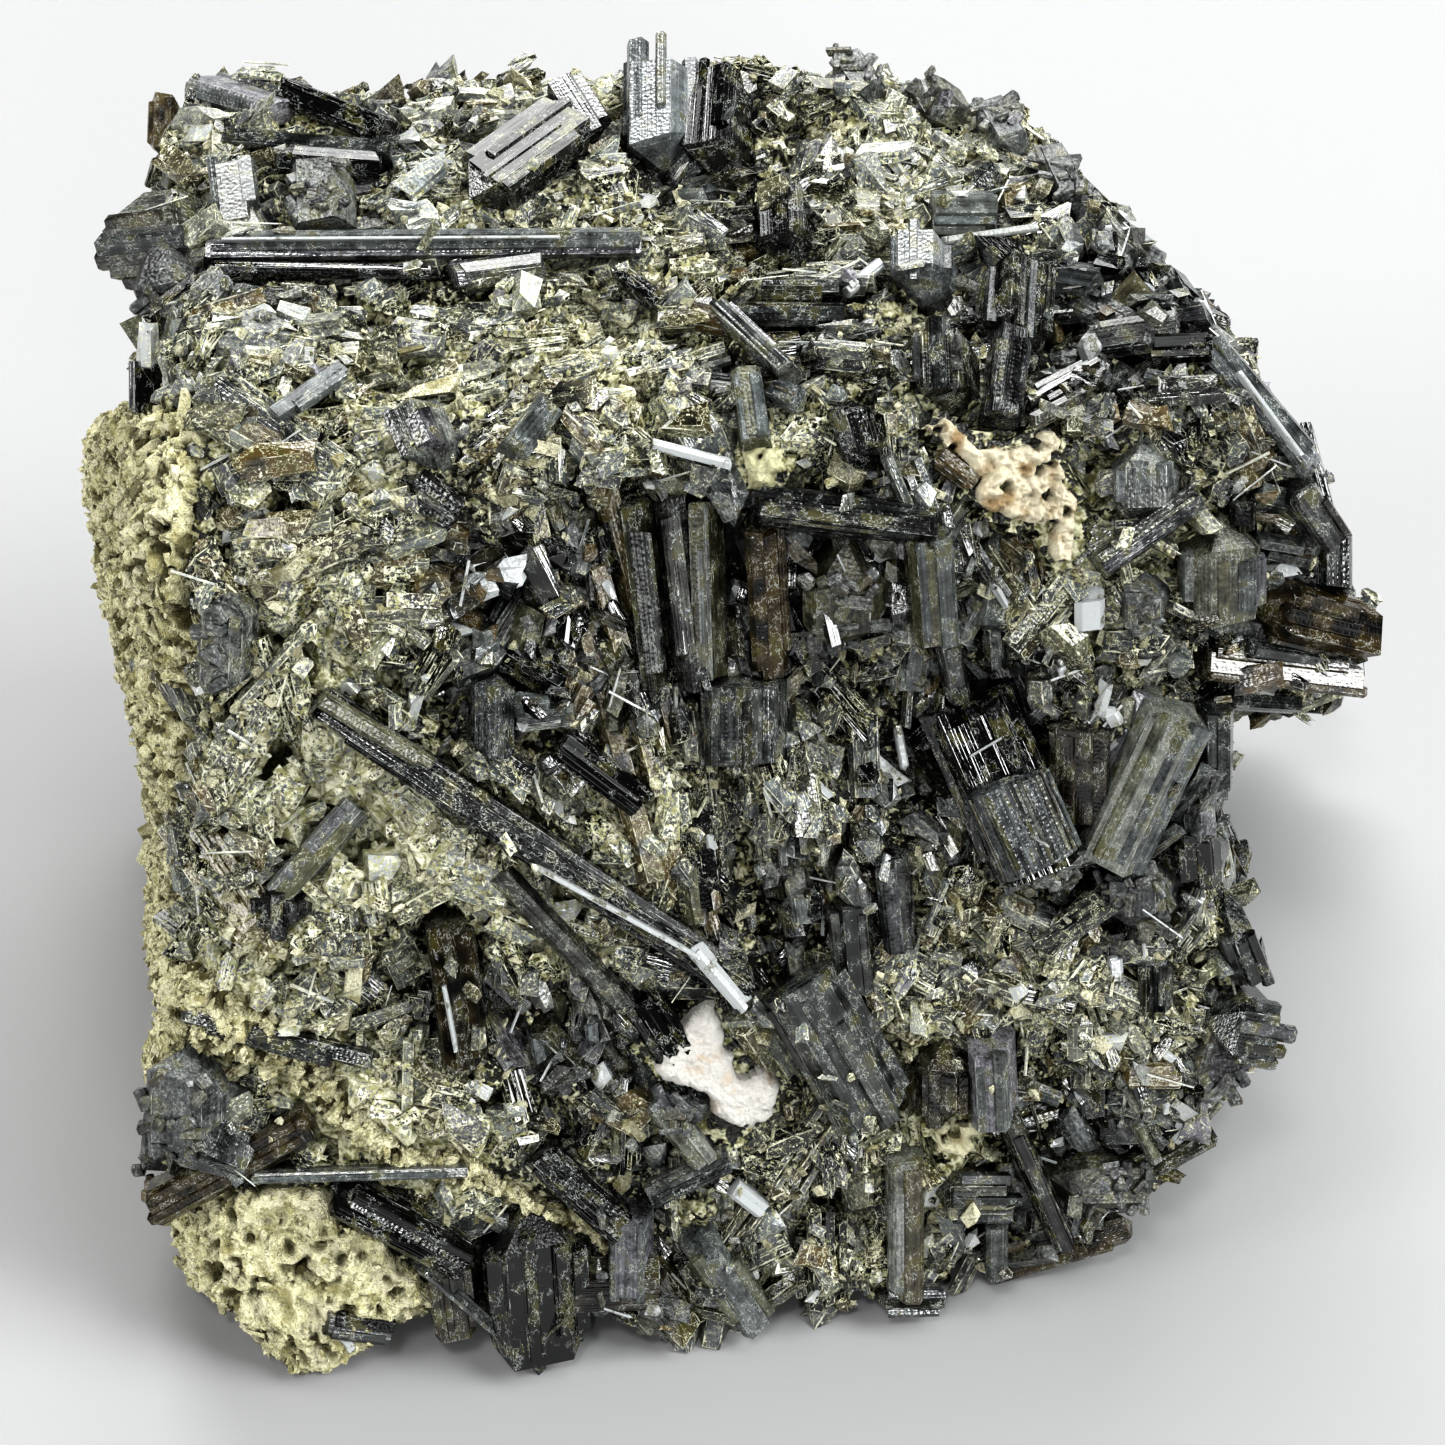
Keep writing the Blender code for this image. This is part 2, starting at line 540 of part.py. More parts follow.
def largest_patch(faces):
    """The largest group of faces that are joined edge to edge, without faces that hang by a corner."""
    by_edge = {}
    for number, face in enumerate(faces):
        for i in range(len(face)):
            by_edge.setdefault(frozenset((face[i - 1], face[i])), []).append(number)
    left = set(range(len(faces)))
    best = []
    while left:
        found = [left.pop()]
        for number in found:
            face = faces[number]
            for i in range(len(face)):
                for other in by_edge[frozenset((face[i - 1], face[i]))]:
                    if other in left:
                        left.remove(other)
                        found.append(other)
        if len(found) > len(best):
            best = found
    return [faces[number] for number in without_pinches(best, faces)]


def without_pinches(numbers, faces):
    """Drops faces until every corner has one unbroken fan of them."""
    numbers = set(numbers)
    while True:
        ends = {}
        for number in numbers:
            face = faces[number]
            for i in range(len(face)):
                ends.setdefault((face[i - 1], face[i]), number)
        open_at = {}
        for (a, b), number in ends.items():
            if (b, a) not in ends:
                open_at.setdefault(a, []).append(number)
        pinched = [found[0] for found in open_at.values() if len(found) > 1]
        if not pinched:
            return sorted(numbers)
        numbers.difference_update(pinched)


def surface_at(tree, pixel):
    """The point of the block's mesh that a pixel shows, or None."""
    return tree.ray_cast(VIEWER, on_photo(pixel))[0]


def nearness(point):
    """How far a point lies towards the viewer."""
    return (point - VIEWER).dot(TOWARDS_VIEWER)


def at_nearness(pixel, near):
    """The point that a pixel shows at a given nearness."""
    ray = on_photo(pixel)
    return VIEWER + ray * (near / ray.dot(TOWARDS_VIEWER))


def edge_near(tree, pixel):
    """The point of the block nearest to a pixel that lies outside its outline."""
    for step in range(EDGE_STEPS):
        place = Vector(pixel).lerp(Vector(photo_place(HEART)), step / EDGE_STEPS)
        point = surface_at(tree, place)
        if point:
            return point


def crystal_ends(tree, first, second, low, high):
    """The two ends of a crystal's axis, at heights low and high over the block."""
    middle = Vector(first).lerp(Vector(second), 0.5)
    anchor = nearness(edge_near(tree, middle))
    flat = (at_nearness(second, anchor) - at_nearness(first, anchor)).length
    near = []
    for pixel, height in ((first, low), (second, high)):
        surface = surface_at(tree, pixel)
        rise = nearness(surface) - anchor if surface else -MISSED_SINK
        rise = max(-flat * STEEPEST_SHARE, min(flat * STEEPEST_SHARE, rise))
        near.append(anchor + rise + height - EMBEDDING)
    return at_nearness(first, near[0]), at_nearness(second, near[1])


def crystal_mesh(start, end, width, thickness, facing, roll, ends, grow):
    """Points and faces of one prism from start to end, with its broad face turned to facing."""
    axis = (end - start).normalized()
    side = axis.cross(facing).normalized()
    side = Matrix.Rotation(math.radians(roll), 3, axis) @ side
    face = side.cross(axis)
    pull = min(END_SLOPE[ends] * width, END_SHARE * (end - start).length)
    section = NARROW_SECTION if width < NARROW_WIDTH else SECTION
    points = []
    for place, outward in ((start, -1), (end, 1)):
        for across, through in section:
            drawn = pull * (abs(across) if ends == "chisel" else across + 0.5)
            point = place + axis * outward * (grow - drawn)
            point = point + side * across * (width + 2 * grow)
            points.append(point + face * through * (thickness + 2 * grow))
    count = len(section)
    faces = [[i, (i + 1) % count, count + (i + 1) % count, count + i] for i in range(count)]
    for cap in END_CAPS[count, ends]:
        faces.append(list(reversed(cap)))
        faces.append([corner + count for corner in cap])
    return points, faces


def seen_crystals(tree):
    """The measures of every crystal read from the photograph."""
    rows = []
    for first, second, width, thickness, low, high, roll, ends in CRYSTALS:
        start, end = crystal_ends(tree, first, second, low, high)
        width *= -PHOTO_SCALE * nearness(start.lerp(end, 0.5)) / VIEW_DISTANCE
        rows.append((start, end, width, thickness, TOWARDS_VIEWER, roll, ends))
    return rows


def hidden_crystals(tree):
    """The measures of crystals spread over the sides that the photograph doesn't show."""
    chance = np.random.default_rng(HIDDEN_SEED)
    rows = []
    while len(rows) < HIDDEN_COUNT:
        direction = Vector(chance.normal(size=3)).normalized()
        spin, tilt = chance.uniform(-1, 1, 2)
        length = chance.uniform(*HIDDEN_LENGTH)
        width = chance.uniform(*HIDDEN_WIDTH)
        point, normal, _, _ = tree.ray_cast(HEART, direction)
        facing = normal.dot(TOWARDS_VIEWER)
        if facing > HIDDEN_FACING or point.z < HIDDEN_LOWEST or normal.x < -HIDDEN_FACING:
            continue
        tangent = normal.orthogonal().normalized()
        tangent = Matrix.Rotation(math.pi * spin, 3, normal) @ tangent
        axis = (tangent + normal * tilt * HIDDEN_TILT).normalized()
        middle = point + normal * width * HIDDEN_RISE
        tips = [middle - axis * length / 2, middle + axis * length / 2]
        if all(inside(photo_place(tip + normal * width / 2), OUTLINE) for tip in tips):
            roll = HIDDEN_ROLL * tilt
            rows.append((*tips, width, width * HIDDEN_FLATNESS, normal, roll, "chisel"))
    return rows


def crystal_cluster(name, rows, grow):
    """One mesh of many prisms, each made larger all round by grow."""
    points = []
    faces = []
    for row in rows:
        more_points, more_faces = crystal_mesh(*row, grow)
        faces += [[index + len(points) for index in face] for face in more_faces]
        points += more_points
    return new_object(name, points, faces)


def grown_outline(outline, by):
    """A polygon of pixels moved outwards by a number of pixels."""
    grown = []
    for before, here, after in zip(outline[-1:] + outline[:-1], outline, outline[1:] + outline[:1]):
        first = (Vector(here) - Vector(before)).normalized()
        second = (Vector(after) - Vector(here)).normalized()
        outward = Vector((-first.y - second.y, first.x + second.x)).normalized()
        grown.append(tuple(Vector(here) - outward * by * turning(outline)))
    return grown


def turning(outline):
    """One for a polygon listed clockwise in the photograph, and minus one for the other way."""
    area = 0
    for (x0, y0), (x1, y1) in zip(outline, outline[1:] + outline[:1]):
        area += x0 * y1 - x1 * y0
    return math.copysign(1, area)


def patch(name, tree, outline, middle, height, depth, grow):
    """A lumpy plate of pale mineral set into the block."""
    heart = surface_at(tree, middle)
    wider = grown_outline(outline, grow / PHOTO_SCALE)
    rings = []
    shoulder = height * PATCH_SHOULDER
    levels = ((1, -depth - grow), (1, shoulder + grow), (PATCH_CROWN, height + grow))
    for share, lift in levels:
        ring = []
        for number, (pixel, wide) in enumerate(zip(outline, wider)):
            place = tuple(Vector(middle).lerp(Vector(pixel), share))
            moved = (place[0] + wide[0] - pixel[0], place[1] + wide[1] - pixel[1])
            rise = nearness(surface_at(tree, place) or heart) - nearness(heart)
            rise = max(-PATCH_RELIEF, min(PATCH_RELIEF, rise))
            bump = PATCH_BUMP * math.sin(number * PATCH_TURN) if share < 1 else 0
            ring.append(at_nearness(moved, nearness(heart)) + TOWARDS_VIEWER * (rise + lift + bump))
        rings.append(ring)
    count = len(outline)
    points = [point for ring in rings for point in ring]
    points.append(heart - TOWARDS_VIEWER * (depth + grow))
    points.append(heart + TOWARDS_VIEWER * (height + grow + PATCH_BUMP))
    faces = []
    for i in range(count):
        j = (i + 1) % count
        faces.append([i, 3 * count, j])
        faces.append([i, j, count + j])
        faces.append([i, count + j, count + i])
        faces.append([count + i, count + j, 2 * count + j])
        faces.append([count + i, 2 * count + j, 2 * count + i])
        faces.append([2 * count + i, 2 * count + j, 3 * count + 1])
    thing = new_object(name, points, faces)
    face_outwards(thing)
    return thing


def face_outwards(thing):
    mesh = bmesh.new()
    mesh.from_mesh(thing.data)
    bmesh.ops.recalc_face_normals(mesh, faces=mesh.faces[:])
    mesh.to_mesh(thing.data)
    mesh.free()


def box_below_rest():
    """A box whose top is the plane on which the block rests."""
    mesh = bmesh.new()
    bmesh.ops.create_cube(mesh, size=1)
    for vert in mesh.verts:
        vert.co.z -= 0.5
        vert.co *= Vector(REST_BOX)
    thing = new_object("below_rest", [vert.co[:] for vert in mesh.verts],
                       [[vert.index for vert in face.verts] for face in mesh.faces])
    mesh.free()
    return thing


def finish(thing, collection):
    """Turns a piece into metres over the origin, and gives it its material and collection."""
    face_outwards(thing)
    thing.data.transform(Matrix.Scale(MM, 4) @ Matrix.Translation(CENTRING))
    colour, roughness = FINISHES[thing.name]
    material = bpy.data.materials.new(thing.name)
    material.use_nodes = True
    shader = material.node_tree.nodes["Principled BSDF"]
    shader.inputs["Base Color"].default_value = (*colour, 1)
    shader.inputs["Roughness"].default_value = roughness
    shader.inputs["Metallic"].default_value = 0
    thing.data.materials.clear()
    thing.data.materials.append(material)
    bpy.context.scene.collection.objects.unlink(thing)
    collection.objects.link(thing)


def main():
    for thing in list(bpy.data.objects):
        bpy.data.objects.remove(thing)
    block = make_block()
    tree = BVHTree.FromObject(block, bpy.context.evaluated_depsgraph_get())
    rows = seen_crystals(tree) + hidden_crystals(tree)
    crystals = crystal_cluster("crystals", rows, 0)
    wide_crystals = crystal_cluster("wide_crystals", rows, FITTING_GAP)
    below_rest = box_below_rest()

    crust = split_crust(block)
    pieces = [block, crust]
    pockets = []
    for name, row in PATCHES.items():
        pieces.append(patch(name, tree, *row, 0))
        pockets.append(patch(name + "_pocket", tree, *row, FITTING_GAP))

    block.name = "epidote_crystals"
    join_by(block, "UNION", crystals)
    join_by(block, "DIFFERENCE", joined("cutters_of_block", [below_rest, *pockets]))
    keep_largest(block)
    join_by(crust, "DIFFERENCE", joined("cutters_of_crust", [below_rest, wide_crystals]))
    keep_largest(crust)

    collection = bpy.data.collections.new("epidote_crystal_cluster")
    bpy.context.scene.collection.children.link(collection)
    for thing in pieces:
        finish(thing, collection)
    for thing in list(bpy.context.scene.collection.objects):
        bpy.data.objects.remove(thing)


main()
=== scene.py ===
import math

import bmesh
import bpy
import numpy as np
from mathutils import Matrix, Vector, noise
from mathutils.bvhtree import BVHTree
from mathutils.kdtree import KDTree


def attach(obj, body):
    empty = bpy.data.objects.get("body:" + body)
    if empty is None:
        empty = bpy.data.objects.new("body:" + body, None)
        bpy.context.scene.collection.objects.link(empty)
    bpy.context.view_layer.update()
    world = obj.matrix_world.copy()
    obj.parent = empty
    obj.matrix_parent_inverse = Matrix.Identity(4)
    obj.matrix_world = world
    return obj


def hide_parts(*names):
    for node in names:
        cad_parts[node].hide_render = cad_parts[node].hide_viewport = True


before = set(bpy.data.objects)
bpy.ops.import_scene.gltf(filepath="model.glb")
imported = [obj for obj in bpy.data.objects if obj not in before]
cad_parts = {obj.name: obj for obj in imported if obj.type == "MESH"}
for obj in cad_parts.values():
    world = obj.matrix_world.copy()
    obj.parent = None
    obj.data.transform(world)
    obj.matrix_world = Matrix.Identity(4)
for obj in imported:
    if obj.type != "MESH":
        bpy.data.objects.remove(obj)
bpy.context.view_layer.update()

# An epidote crystal cluster. Shapes are made in millimetres about the block's own origin and
# turned into metres in the frame when a piece is made.
MM = 0.001
CENTRING = np.array((-1.35, -9.08, 0))
BLOCK_WIDTH = 125.0
BLOCK_HEIGHT = 86.0
BURIED_FOOT = 3.0

# How the photograph sees the block
PHOTO_SIDE = 1445
PHOTO_SCALE = BLOCK_WIDTH / 1282
VIEW_ELEVATION = math.radians(42)
VIEW_DISTANCE = 330.0
VIEW_TARGET = np.array((0, 0, 44))
TOWARDS_VIEWER = np.array((0, -math.cos(VIEW_ELEVATION), math.sin(VIEW_ELEVATION)))
VIEW_UP = np.array((0, math.sin(VIEW_ELEVATION), math.cos(VIEW_ELEVATION)))
VIEW_RIGHT = np.array((1, 0, 0))
VIEWER = VIEW_TARGET + TOWARDS_VIEWER * VIEW_DISTANCE

# The block is a rounded polyhedron about this heart: each face is a normal and a point on it
HEART = Vector((0, 8, 47))
EDGE_SHARPNESS = 13
BLOCK_FACES = (
    ((0.02, -0.04, 1), (0, 20, BLOCK_HEIGHT + 1)),
    ((0.12, -0.92, 0.377), (0, -42, 0)),
    ((-1, -0.27, 0.12), (-49.4, -30, 43)),
    ((-0.75, 0.6, -0.1), (-65, 43, 40)),
    ((-0.6, -0.78, -0.05), (-52.5, -46.5, 3)),
    ((1, -0.1, 0.15), (64, 0, 60)),
    ((0.8, 0.45, 0.35), (52, 33, 66)),
    ((0, 1, 0.06), (0, 56, 60)),
    ((0, 0.6, -0.8), (0, 40, 4)),
    ((0, 0, -1), (0, 0, -BURIED_FOOT)),
)
LUMP_SHARE = 0.05
LUMP_SIZES = (17.0, 8.0)

# Outline of the block in the photograph, in pixels, without the crystals that jut from it
OUTLINE = (
    (128, 270), (150, 205), (160, 150), (172, 100), (196, 80), (222, 70), (290, 84), (366, 102),
    (430, 82), (484, 75), (519, 75), (560, 77), (598, 81), (629, 97), (640, 74), (668, 48),
    (700, 54), (745, 68), (790, 76), (828, 78), (846, 64), (880, 66), (909, 84), (946, 82),
    (965, 96), (1006, 101), (1018, 120), (1046, 138), (1066, 174), (1090, 204), (1117, 226),
    (1142, 250), (1168, 282), (1192, 302), (1200, 326), (1230, 346), (1264, 396), (1296, 440),
    (1316, 474), (1328, 520), (1340, 540), (1343, 580), (1350, 612), (1340, 650), (1344, 676),
    (1330, 692), (1288, 694), (1270, 708), (1230, 709), (1227, 748), (1211, 780), (1210, 820),
    (1226, 862), (1225, 896), (1240, 946), (1256, 986), (1262, 1020), (1256, 1050), (1232, 1074),
    (1209, 1102), (1200, 1140), (1168, 1162), (1132, 1178), (1126, 1218), (1080, 1256),
    (1040, 1268), (976, 1266), (942, 1312), (887, 1319), (820, 1314), (760, 1322), (726, 1328),
    (700, 1318), (660, 1330), (616, 1298), (590, 1300), (560, 1330), (500, 1336), (446, 1302),
    (396, 1312), (370, 1340), (336, 1362), (296, 1378), (268, 1349), (233, 1308), (190, 1276),
    (180, 1234), (158, 1200), (150, 1160), (150, 1110), (152, 1060), (164, 1012), (151, 944),
    (153, 880), (151, 780), (139, 724), (122, 645), (104, 578), (96, 510), (91, 456), (97, 428),
    (114, 413), (134, 405), (138, 367), (149, 332), (158, 312), (150, 292),
)

# Dark hollows between the crystals: the middle in pixels, then the radius and the depth
HOLLOWS = (
    ((662, 565), 8, 7),
    ((500, 590), 5, 4),
    ((1092, 318), 5, 5),
    ((955, 715), 7, 5),
    ((408, 965), 5, 5),
    ((275, 1115), 6, 5),
    ((1010, 1235), 5, 4),
    ((735, 900), 5, 4),
    ((820, 700), 5, 3),
    ((600, 300), 4, 2),
    ((1130, 900), 5, 3),
    ((560, 1010), 4, 3),
)

# Crystals seen in the photograph: the two ends of the axis and the width in pixels, the thickness,
# the height of the axis over the block at either end, the roll, the form of the ends and the look
CRYSTALS = (
    # Back left corner
    ((206, 88), (285, 112), 28, 4, 0.6, 1.0, 20, "flat", "g"),
    ((286, 92), (388, 132), 30, 4, 1.6, 1.2, 0, "flat", "k"),
    ((226, 138), (392, 152), 22, 3.5, 1.0, 1.2, 0, "flat", "s"),
    ((275, 158), (380, 166), 28, 4, 1.6, 1.2, 15, "chisel", "k"),
    ((233, 176), (240, 232), 46, 6, 0.6, 0.6, 0, "flat", "g"),
    ((322, 178), (324, 232), 62, 6, 0.4, 0.4, 10, "flat", "m"),
    ((116, 242), (212, 232), 84, 10, 0.4, -1.0, 25, "chisel", "s"),
    ((136, 284), (196, 268), 48, 8, 0.0, -1.0, 40, "chisel", "m"),
    ((208, 250), (640, 246), 25, 4, 1.4, 0.6, 10, "flat", "g"),
    ((168, 100), (166, 158), 30, 6, 0.6, 0.6, 0, "chisel", "b"),
    ((149, 364), (149, 412), 32, 6, 0.0, 0.0, 0, "flat", "k"),
    ((206, 86), (236, 98), 30, 6, 0.0, 0.0, 30, "chisel", "g"),
    # Back and top
    ((270, 420), (334, 376), 24, 4, 1.0, 1.0, 0, "flat", "g"),
    ((452, 276), (541, 264), 26, 4, 1.0, 1.0, 20, "flat", "s"),
    ((462, 182), (508, 140), 26, 3, 1.0, 1.0, 0, "flat", "w"),
    ((668, 62), (668, 172), 72, 11, 0.0, 0.6, 20, "chisel", "g"),
    ((725, 84), (718, 178), 60, 9, -0.4, 0.4, 30, "chisel", "k"),
    ((560, 86), (600, 150), 40, 6, 0.2, 0.2, 0, "chisel", "s"),
    ((786, 196), (790, 268), 56, 8, 0.8, 0.8, 20, "chisel", "k"),
    ((762, 289), (833, 289), 22, 4, 1.4, 1.4, 0, "flat", "s"),
    ((742, 311), (842, 312), 20, 4, 1.0, 1.0, 0, "flat", "s"),
    ((924, 242), (924, 302), 62, 7, 0.8, 0.8, 20, "chisel", "g"),
    ((1016, 268), (1010, 362), 74, 8, 1.2, 0.8, -15, "chisel", "s"),
    ((1010, 350), (1000, 424), 44, 6, 0.6, 0.4, 0, "flat", "s"),
    ((945, 338), (948, 412), 62, 7, 0.6, 0.6, 15, "chisel", "s"),
    ((930, 212), (996, 212), 42, 6, 0.6, 0.6, 10, "flat", "g"),
    ((746, 372), (757, 450), 34, 5, 1.2, 1.2, 0, "flat", "g"),
    ((720, 310), (790, 375), 26, 4, 1.2, 1.2, 0, "flat", "l"),
    ((624, 275), (668, 310), 24, 4, 1.0, 1.0, 0, "flat", "k"),
    ((848, 66), (872, 104), 44, 6, -0.4, 0.4, 0, "chisel", "m"),
    ((930, 88), (956, 130), 46, 6, -0.4, 0.4, 20, "chisel", "m"),
    ((988, 108), (1018, 158), 42, 6, -0.4, 0.4, 0, "chisel", "m"),
    ((1052, 162), (1078, 218), 38, 6, -0.4, 0.2, 0, "chisel", "m"),
    # Right slope and the ledge that juts to the right
    ((1206, 345), (1312, 470), 32, 5, 0.4, 0.4, 0, "flat", "g"),
    ((1155, 352), (1212, 350), 34, 5, 0.8, 0.8, 0, "flat", "k"),
    ((1146, 442), (1146, 518), 70, 6, 0.8, 0.8, 10, "chisel", "g"),
    ((1098, 566), (1198, 496), 32, 5, 1.6, 1.6, 0, "flat", "s"),
    ((1220, 516), (1220, 624), 84, 7, 0.6, 0.6, -10, "chisel", "g"),
    ((1332, 530), (1332, 588), 42, 6, -1.0, -1.0, 0, "flat", "s"),
    ((1254, 602), (1360, 628), 68, 8, 0.4, -0.6, 10, "chisel", "d"),
    ((1240, 642), (1336, 656), 20, 4, 1.0, 0.4, 22, "flat", "s"),
    ((1200, 662), (1354, 680), 34, 5, 0.4, -0.4, 0, "flat", "d"),
    ((1145, 574), (1145, 632), 46, 6, 0.6, 0.6, 20, "chisel", "m"),
    ((1290, 480), (1330, 540), 40, 6, 0.0, -0.4, 0, "chisel", "s"),
    ((1300, 430), (1322, 512), 26, 5, -0.2, -0.4, 0, "flat", "s"),
    # Middle of the front
    ((636, 500), (658, 684), 26, 5, 0.0, 0.2, 20, "flat", "s"),
    ((668, 494), (690, 680), 28, 5, 0.2, 0.4, -20, "flat", "s"),
    ((706, 500), (712, 676), 26, 5, 0.6, 0.6, 25, "flat", "l"),
    ((764, 524), (772, 662), 36, 5, 0.6, 0.6, 0, "flat", "d"),
    ((744, 680), (744, 764), 80, 8, 0.8, 0.8, 16, "flat", "s"),
    ((508, 452), (545, 404), 24, 4, 1.0, 1.0, 0, "flat", "g"),
    ((496, 676), (496, 756), 50, 6, 0.8, 0.8, 10, "chisel", "s"),
    ((758, 505), (934, 526), 48, 7, 0.6, 0.6, 0, "flat", "s"),
    ((924, 528), (932, 636), 46, 7, 1.2, 1.2, 0, "flat", "g"),
    ((944, 634), (956, 692), 24, 4, 1.0, 1.0, 0, "flat", "s"),
    ((846, 546), (846, 638), 96, 7, 0.4, 0.4, 10, "chisel", "m"),
    ((230, 590), (226, 690), 52, 6, 0.6, 0.6, 15, "chisel", "m"),
    ((400, 480), (456, 520), 40, 5, 0.6, 0.6, 0, "chisel", "k"),
    ((410, 400), (440, 470), 50, 6, 0.4, 0.4, 25, "chisel", "s"),
    ((850, 400), (870, 470), 50, 6, 0.4, 0.4, 15, "chisel", "k"),
    # Right half of the front
    ((968, 692), (1042, 862), 104, 10, 0.0, 1.2, 12, "flat", "k"),
    ((1078, 726), (1078, 816), 60, 5, 0.4, 0.4, 20, "flat", "o"),
    ((1108, 846), (1176, 704), 78, 10, 0.8, 0.8, 0, "flat", "g"),
    ((1213, 700), (1213, 778), 42, 7, -0.4, -0.4, 0, "flat", "s"),
    ((1200, 822), (1204, 876), 50, 7, -0.4, -0.4, 15, "chisel", "k"),
    ((1206, 1018), (1274, 1030), 80, 9, 0.2, -0.8, 10, "chisel", "s"),
    ((1034, 842), (1034, 886), 96, 7, 0.6, 0.6, 0, "chisel", "m"),
    ((1140, 850), (1140, 930), 80, 8, 0.2, 0.2, 20, "chisel", "m"),
    ((1152, 958), (1152, 1008), 36, 5, 0.8, 0.8, 0, "flat", "s"),
    ((1226, 910), (1252, 974), 36, 7, -0.4, -0.4, 0, "chisel", "s"),
    ((640, 990), (700, 1085), 40, 5, 0.2, 0.2, 0, "flat", "k"),
    ((890, 850), (900, 940), 40, 5, 0.4, 0.4, 0, "flat", "s"),
    ((850, 900), (858, 985), 36, 5, 0.4, 0.4, 0, "flat", "s"),
    # The long diagonal prism and its neighbours
    ((318, 700), (745, 985), 34, 6, 2.0, 2.2, 8, "flat", "k"),
    ((500, 870), (632, 1010), 26, 4, 0.8, 1.0, 0, "flat", "s"),
    ((278, 895), (356, 806), 34, 5, 0.8, 0.8, 0, "flat", "g"),
    ((284, 878), (284, 934), 58, 6, 0.6, 0.6, 15, "chisel", "k"),
    ((183, 1012), (372, 1060), 22, 4, 1.2, 1.2, 0, "flat", "s"),
    ((446, 920), (462, 1058), 46, 6, 0.4, 0.8, 0, "flat", "o"),
    ((196, 1046), (196, 1138), 92, 10, 0.4, 0.4, 15, "chisel", "m"),
    ((166, 1096), (160, 1166), 40, 7, -0.4, -0.4, 0, "chisel", "m"),
    ((560, 740), (640, 800), 34, 4, 0.6, 0.6, 0, "flat", "k"),
    # Lower left corner
    ((156, 1204), (312, 1120), 44, 6, 0.6, 1.2, 10, "flat", "d"),
    ((253, 1176), (466, 1170), 15, 4, 1.6, 1.8, 0, "flat", "g"),
    ((332, 1184), (472, 1258), 46, 7, 1.2, 1.2, 10, "chisel", "k"),
    ((322, 1318), (388, 1326), 32, 5, 0.6, 0.2, 0, "flat", "k"),
    ((448, 1256), (456, 1320), 50, 6, 0.2, 0.2, 0, "flat", "o"),
    # Foot of the front
    ((528, 1204), (538, 1352), 108, 10, 0.4, -1.0, -8, "chisel", "k"),
    ((420, 1260), (540, 1368), 20, 4, 1.2, 0.4, 0, "flat", "s"),
    ((582, 1236), (586, 1326), 20, 5, 1.0, 0.0, 0, "flat", "k"),
    ((656, 1098), (704, 1158), 34, 5, 1.0, 1.0, 0, "flat", "g"),
    ((650, 1194), (728, 1157), 30, 5, 0.8, 0.8, 0, "flat", "s"),
    ((700, 1240), (752, 1314), 42, 6, 0.8, 0.2, 0, "flat", "g"),
    ((633, 1210), (633, 1292), 36, 6, 0.6, 0.6, 15, "flat", "g"),
    ((686, 1080), (686, 1126), 56, 6, 0.8, 0.8, 20, "chisel", "m"),
    ((540, 1152), (622, 1226), 40, 5, 0.8, 0.8, 0, "flat", "k"),
    ((797, 978), (872, 1108), 86, 9, 1.6, 1.4, 0, "flat", "s"),
    ((1004, 1108), (1062, 1238), 28, 5, 1.0, 1.0, 0, "flat", "s"),
    ((990, 1038), (994, 1118), 48, 7, 0.8, 0.8, 10, "flat", "g"),
    ((944, 1044), (944, 1120), 60, 6, 0.6, 0.6, 15, "chisel", "o"),
    ((936, 1192), (1012, 1192), 50, 6, 0.8, 0.8, 10, "chisel", "s"),
    ((904, 1150), (904, 1288), 42, 6, 0.6, 0.4, 0, "flat", "g"),
    ((1050, 1176), (1140, 1176), 62, 7, 0.6, 0.2, 10, "chisel", "m"),
    ((978, 1266), (1130, 1222), 38, 6, 0.0, 0.0, 0, "chisel", "d"),
    ((996, 1218), (996, 1268), 24, 4, 1.4, 1.4, 0, "flat", "g"),
    ((1138, 1164), (1204, 1128), 38, 6, 0.2, -0.6, 0, "flat", "s"),
    ((1218, 1028), (1222, 1088), 70, 7, 0.2, 0.0, 15, "chisel", "m"),
    ((876, 1296), (946, 1294), 32, 6, 0.2, 0.0, 0, "chisel", "s"),
)

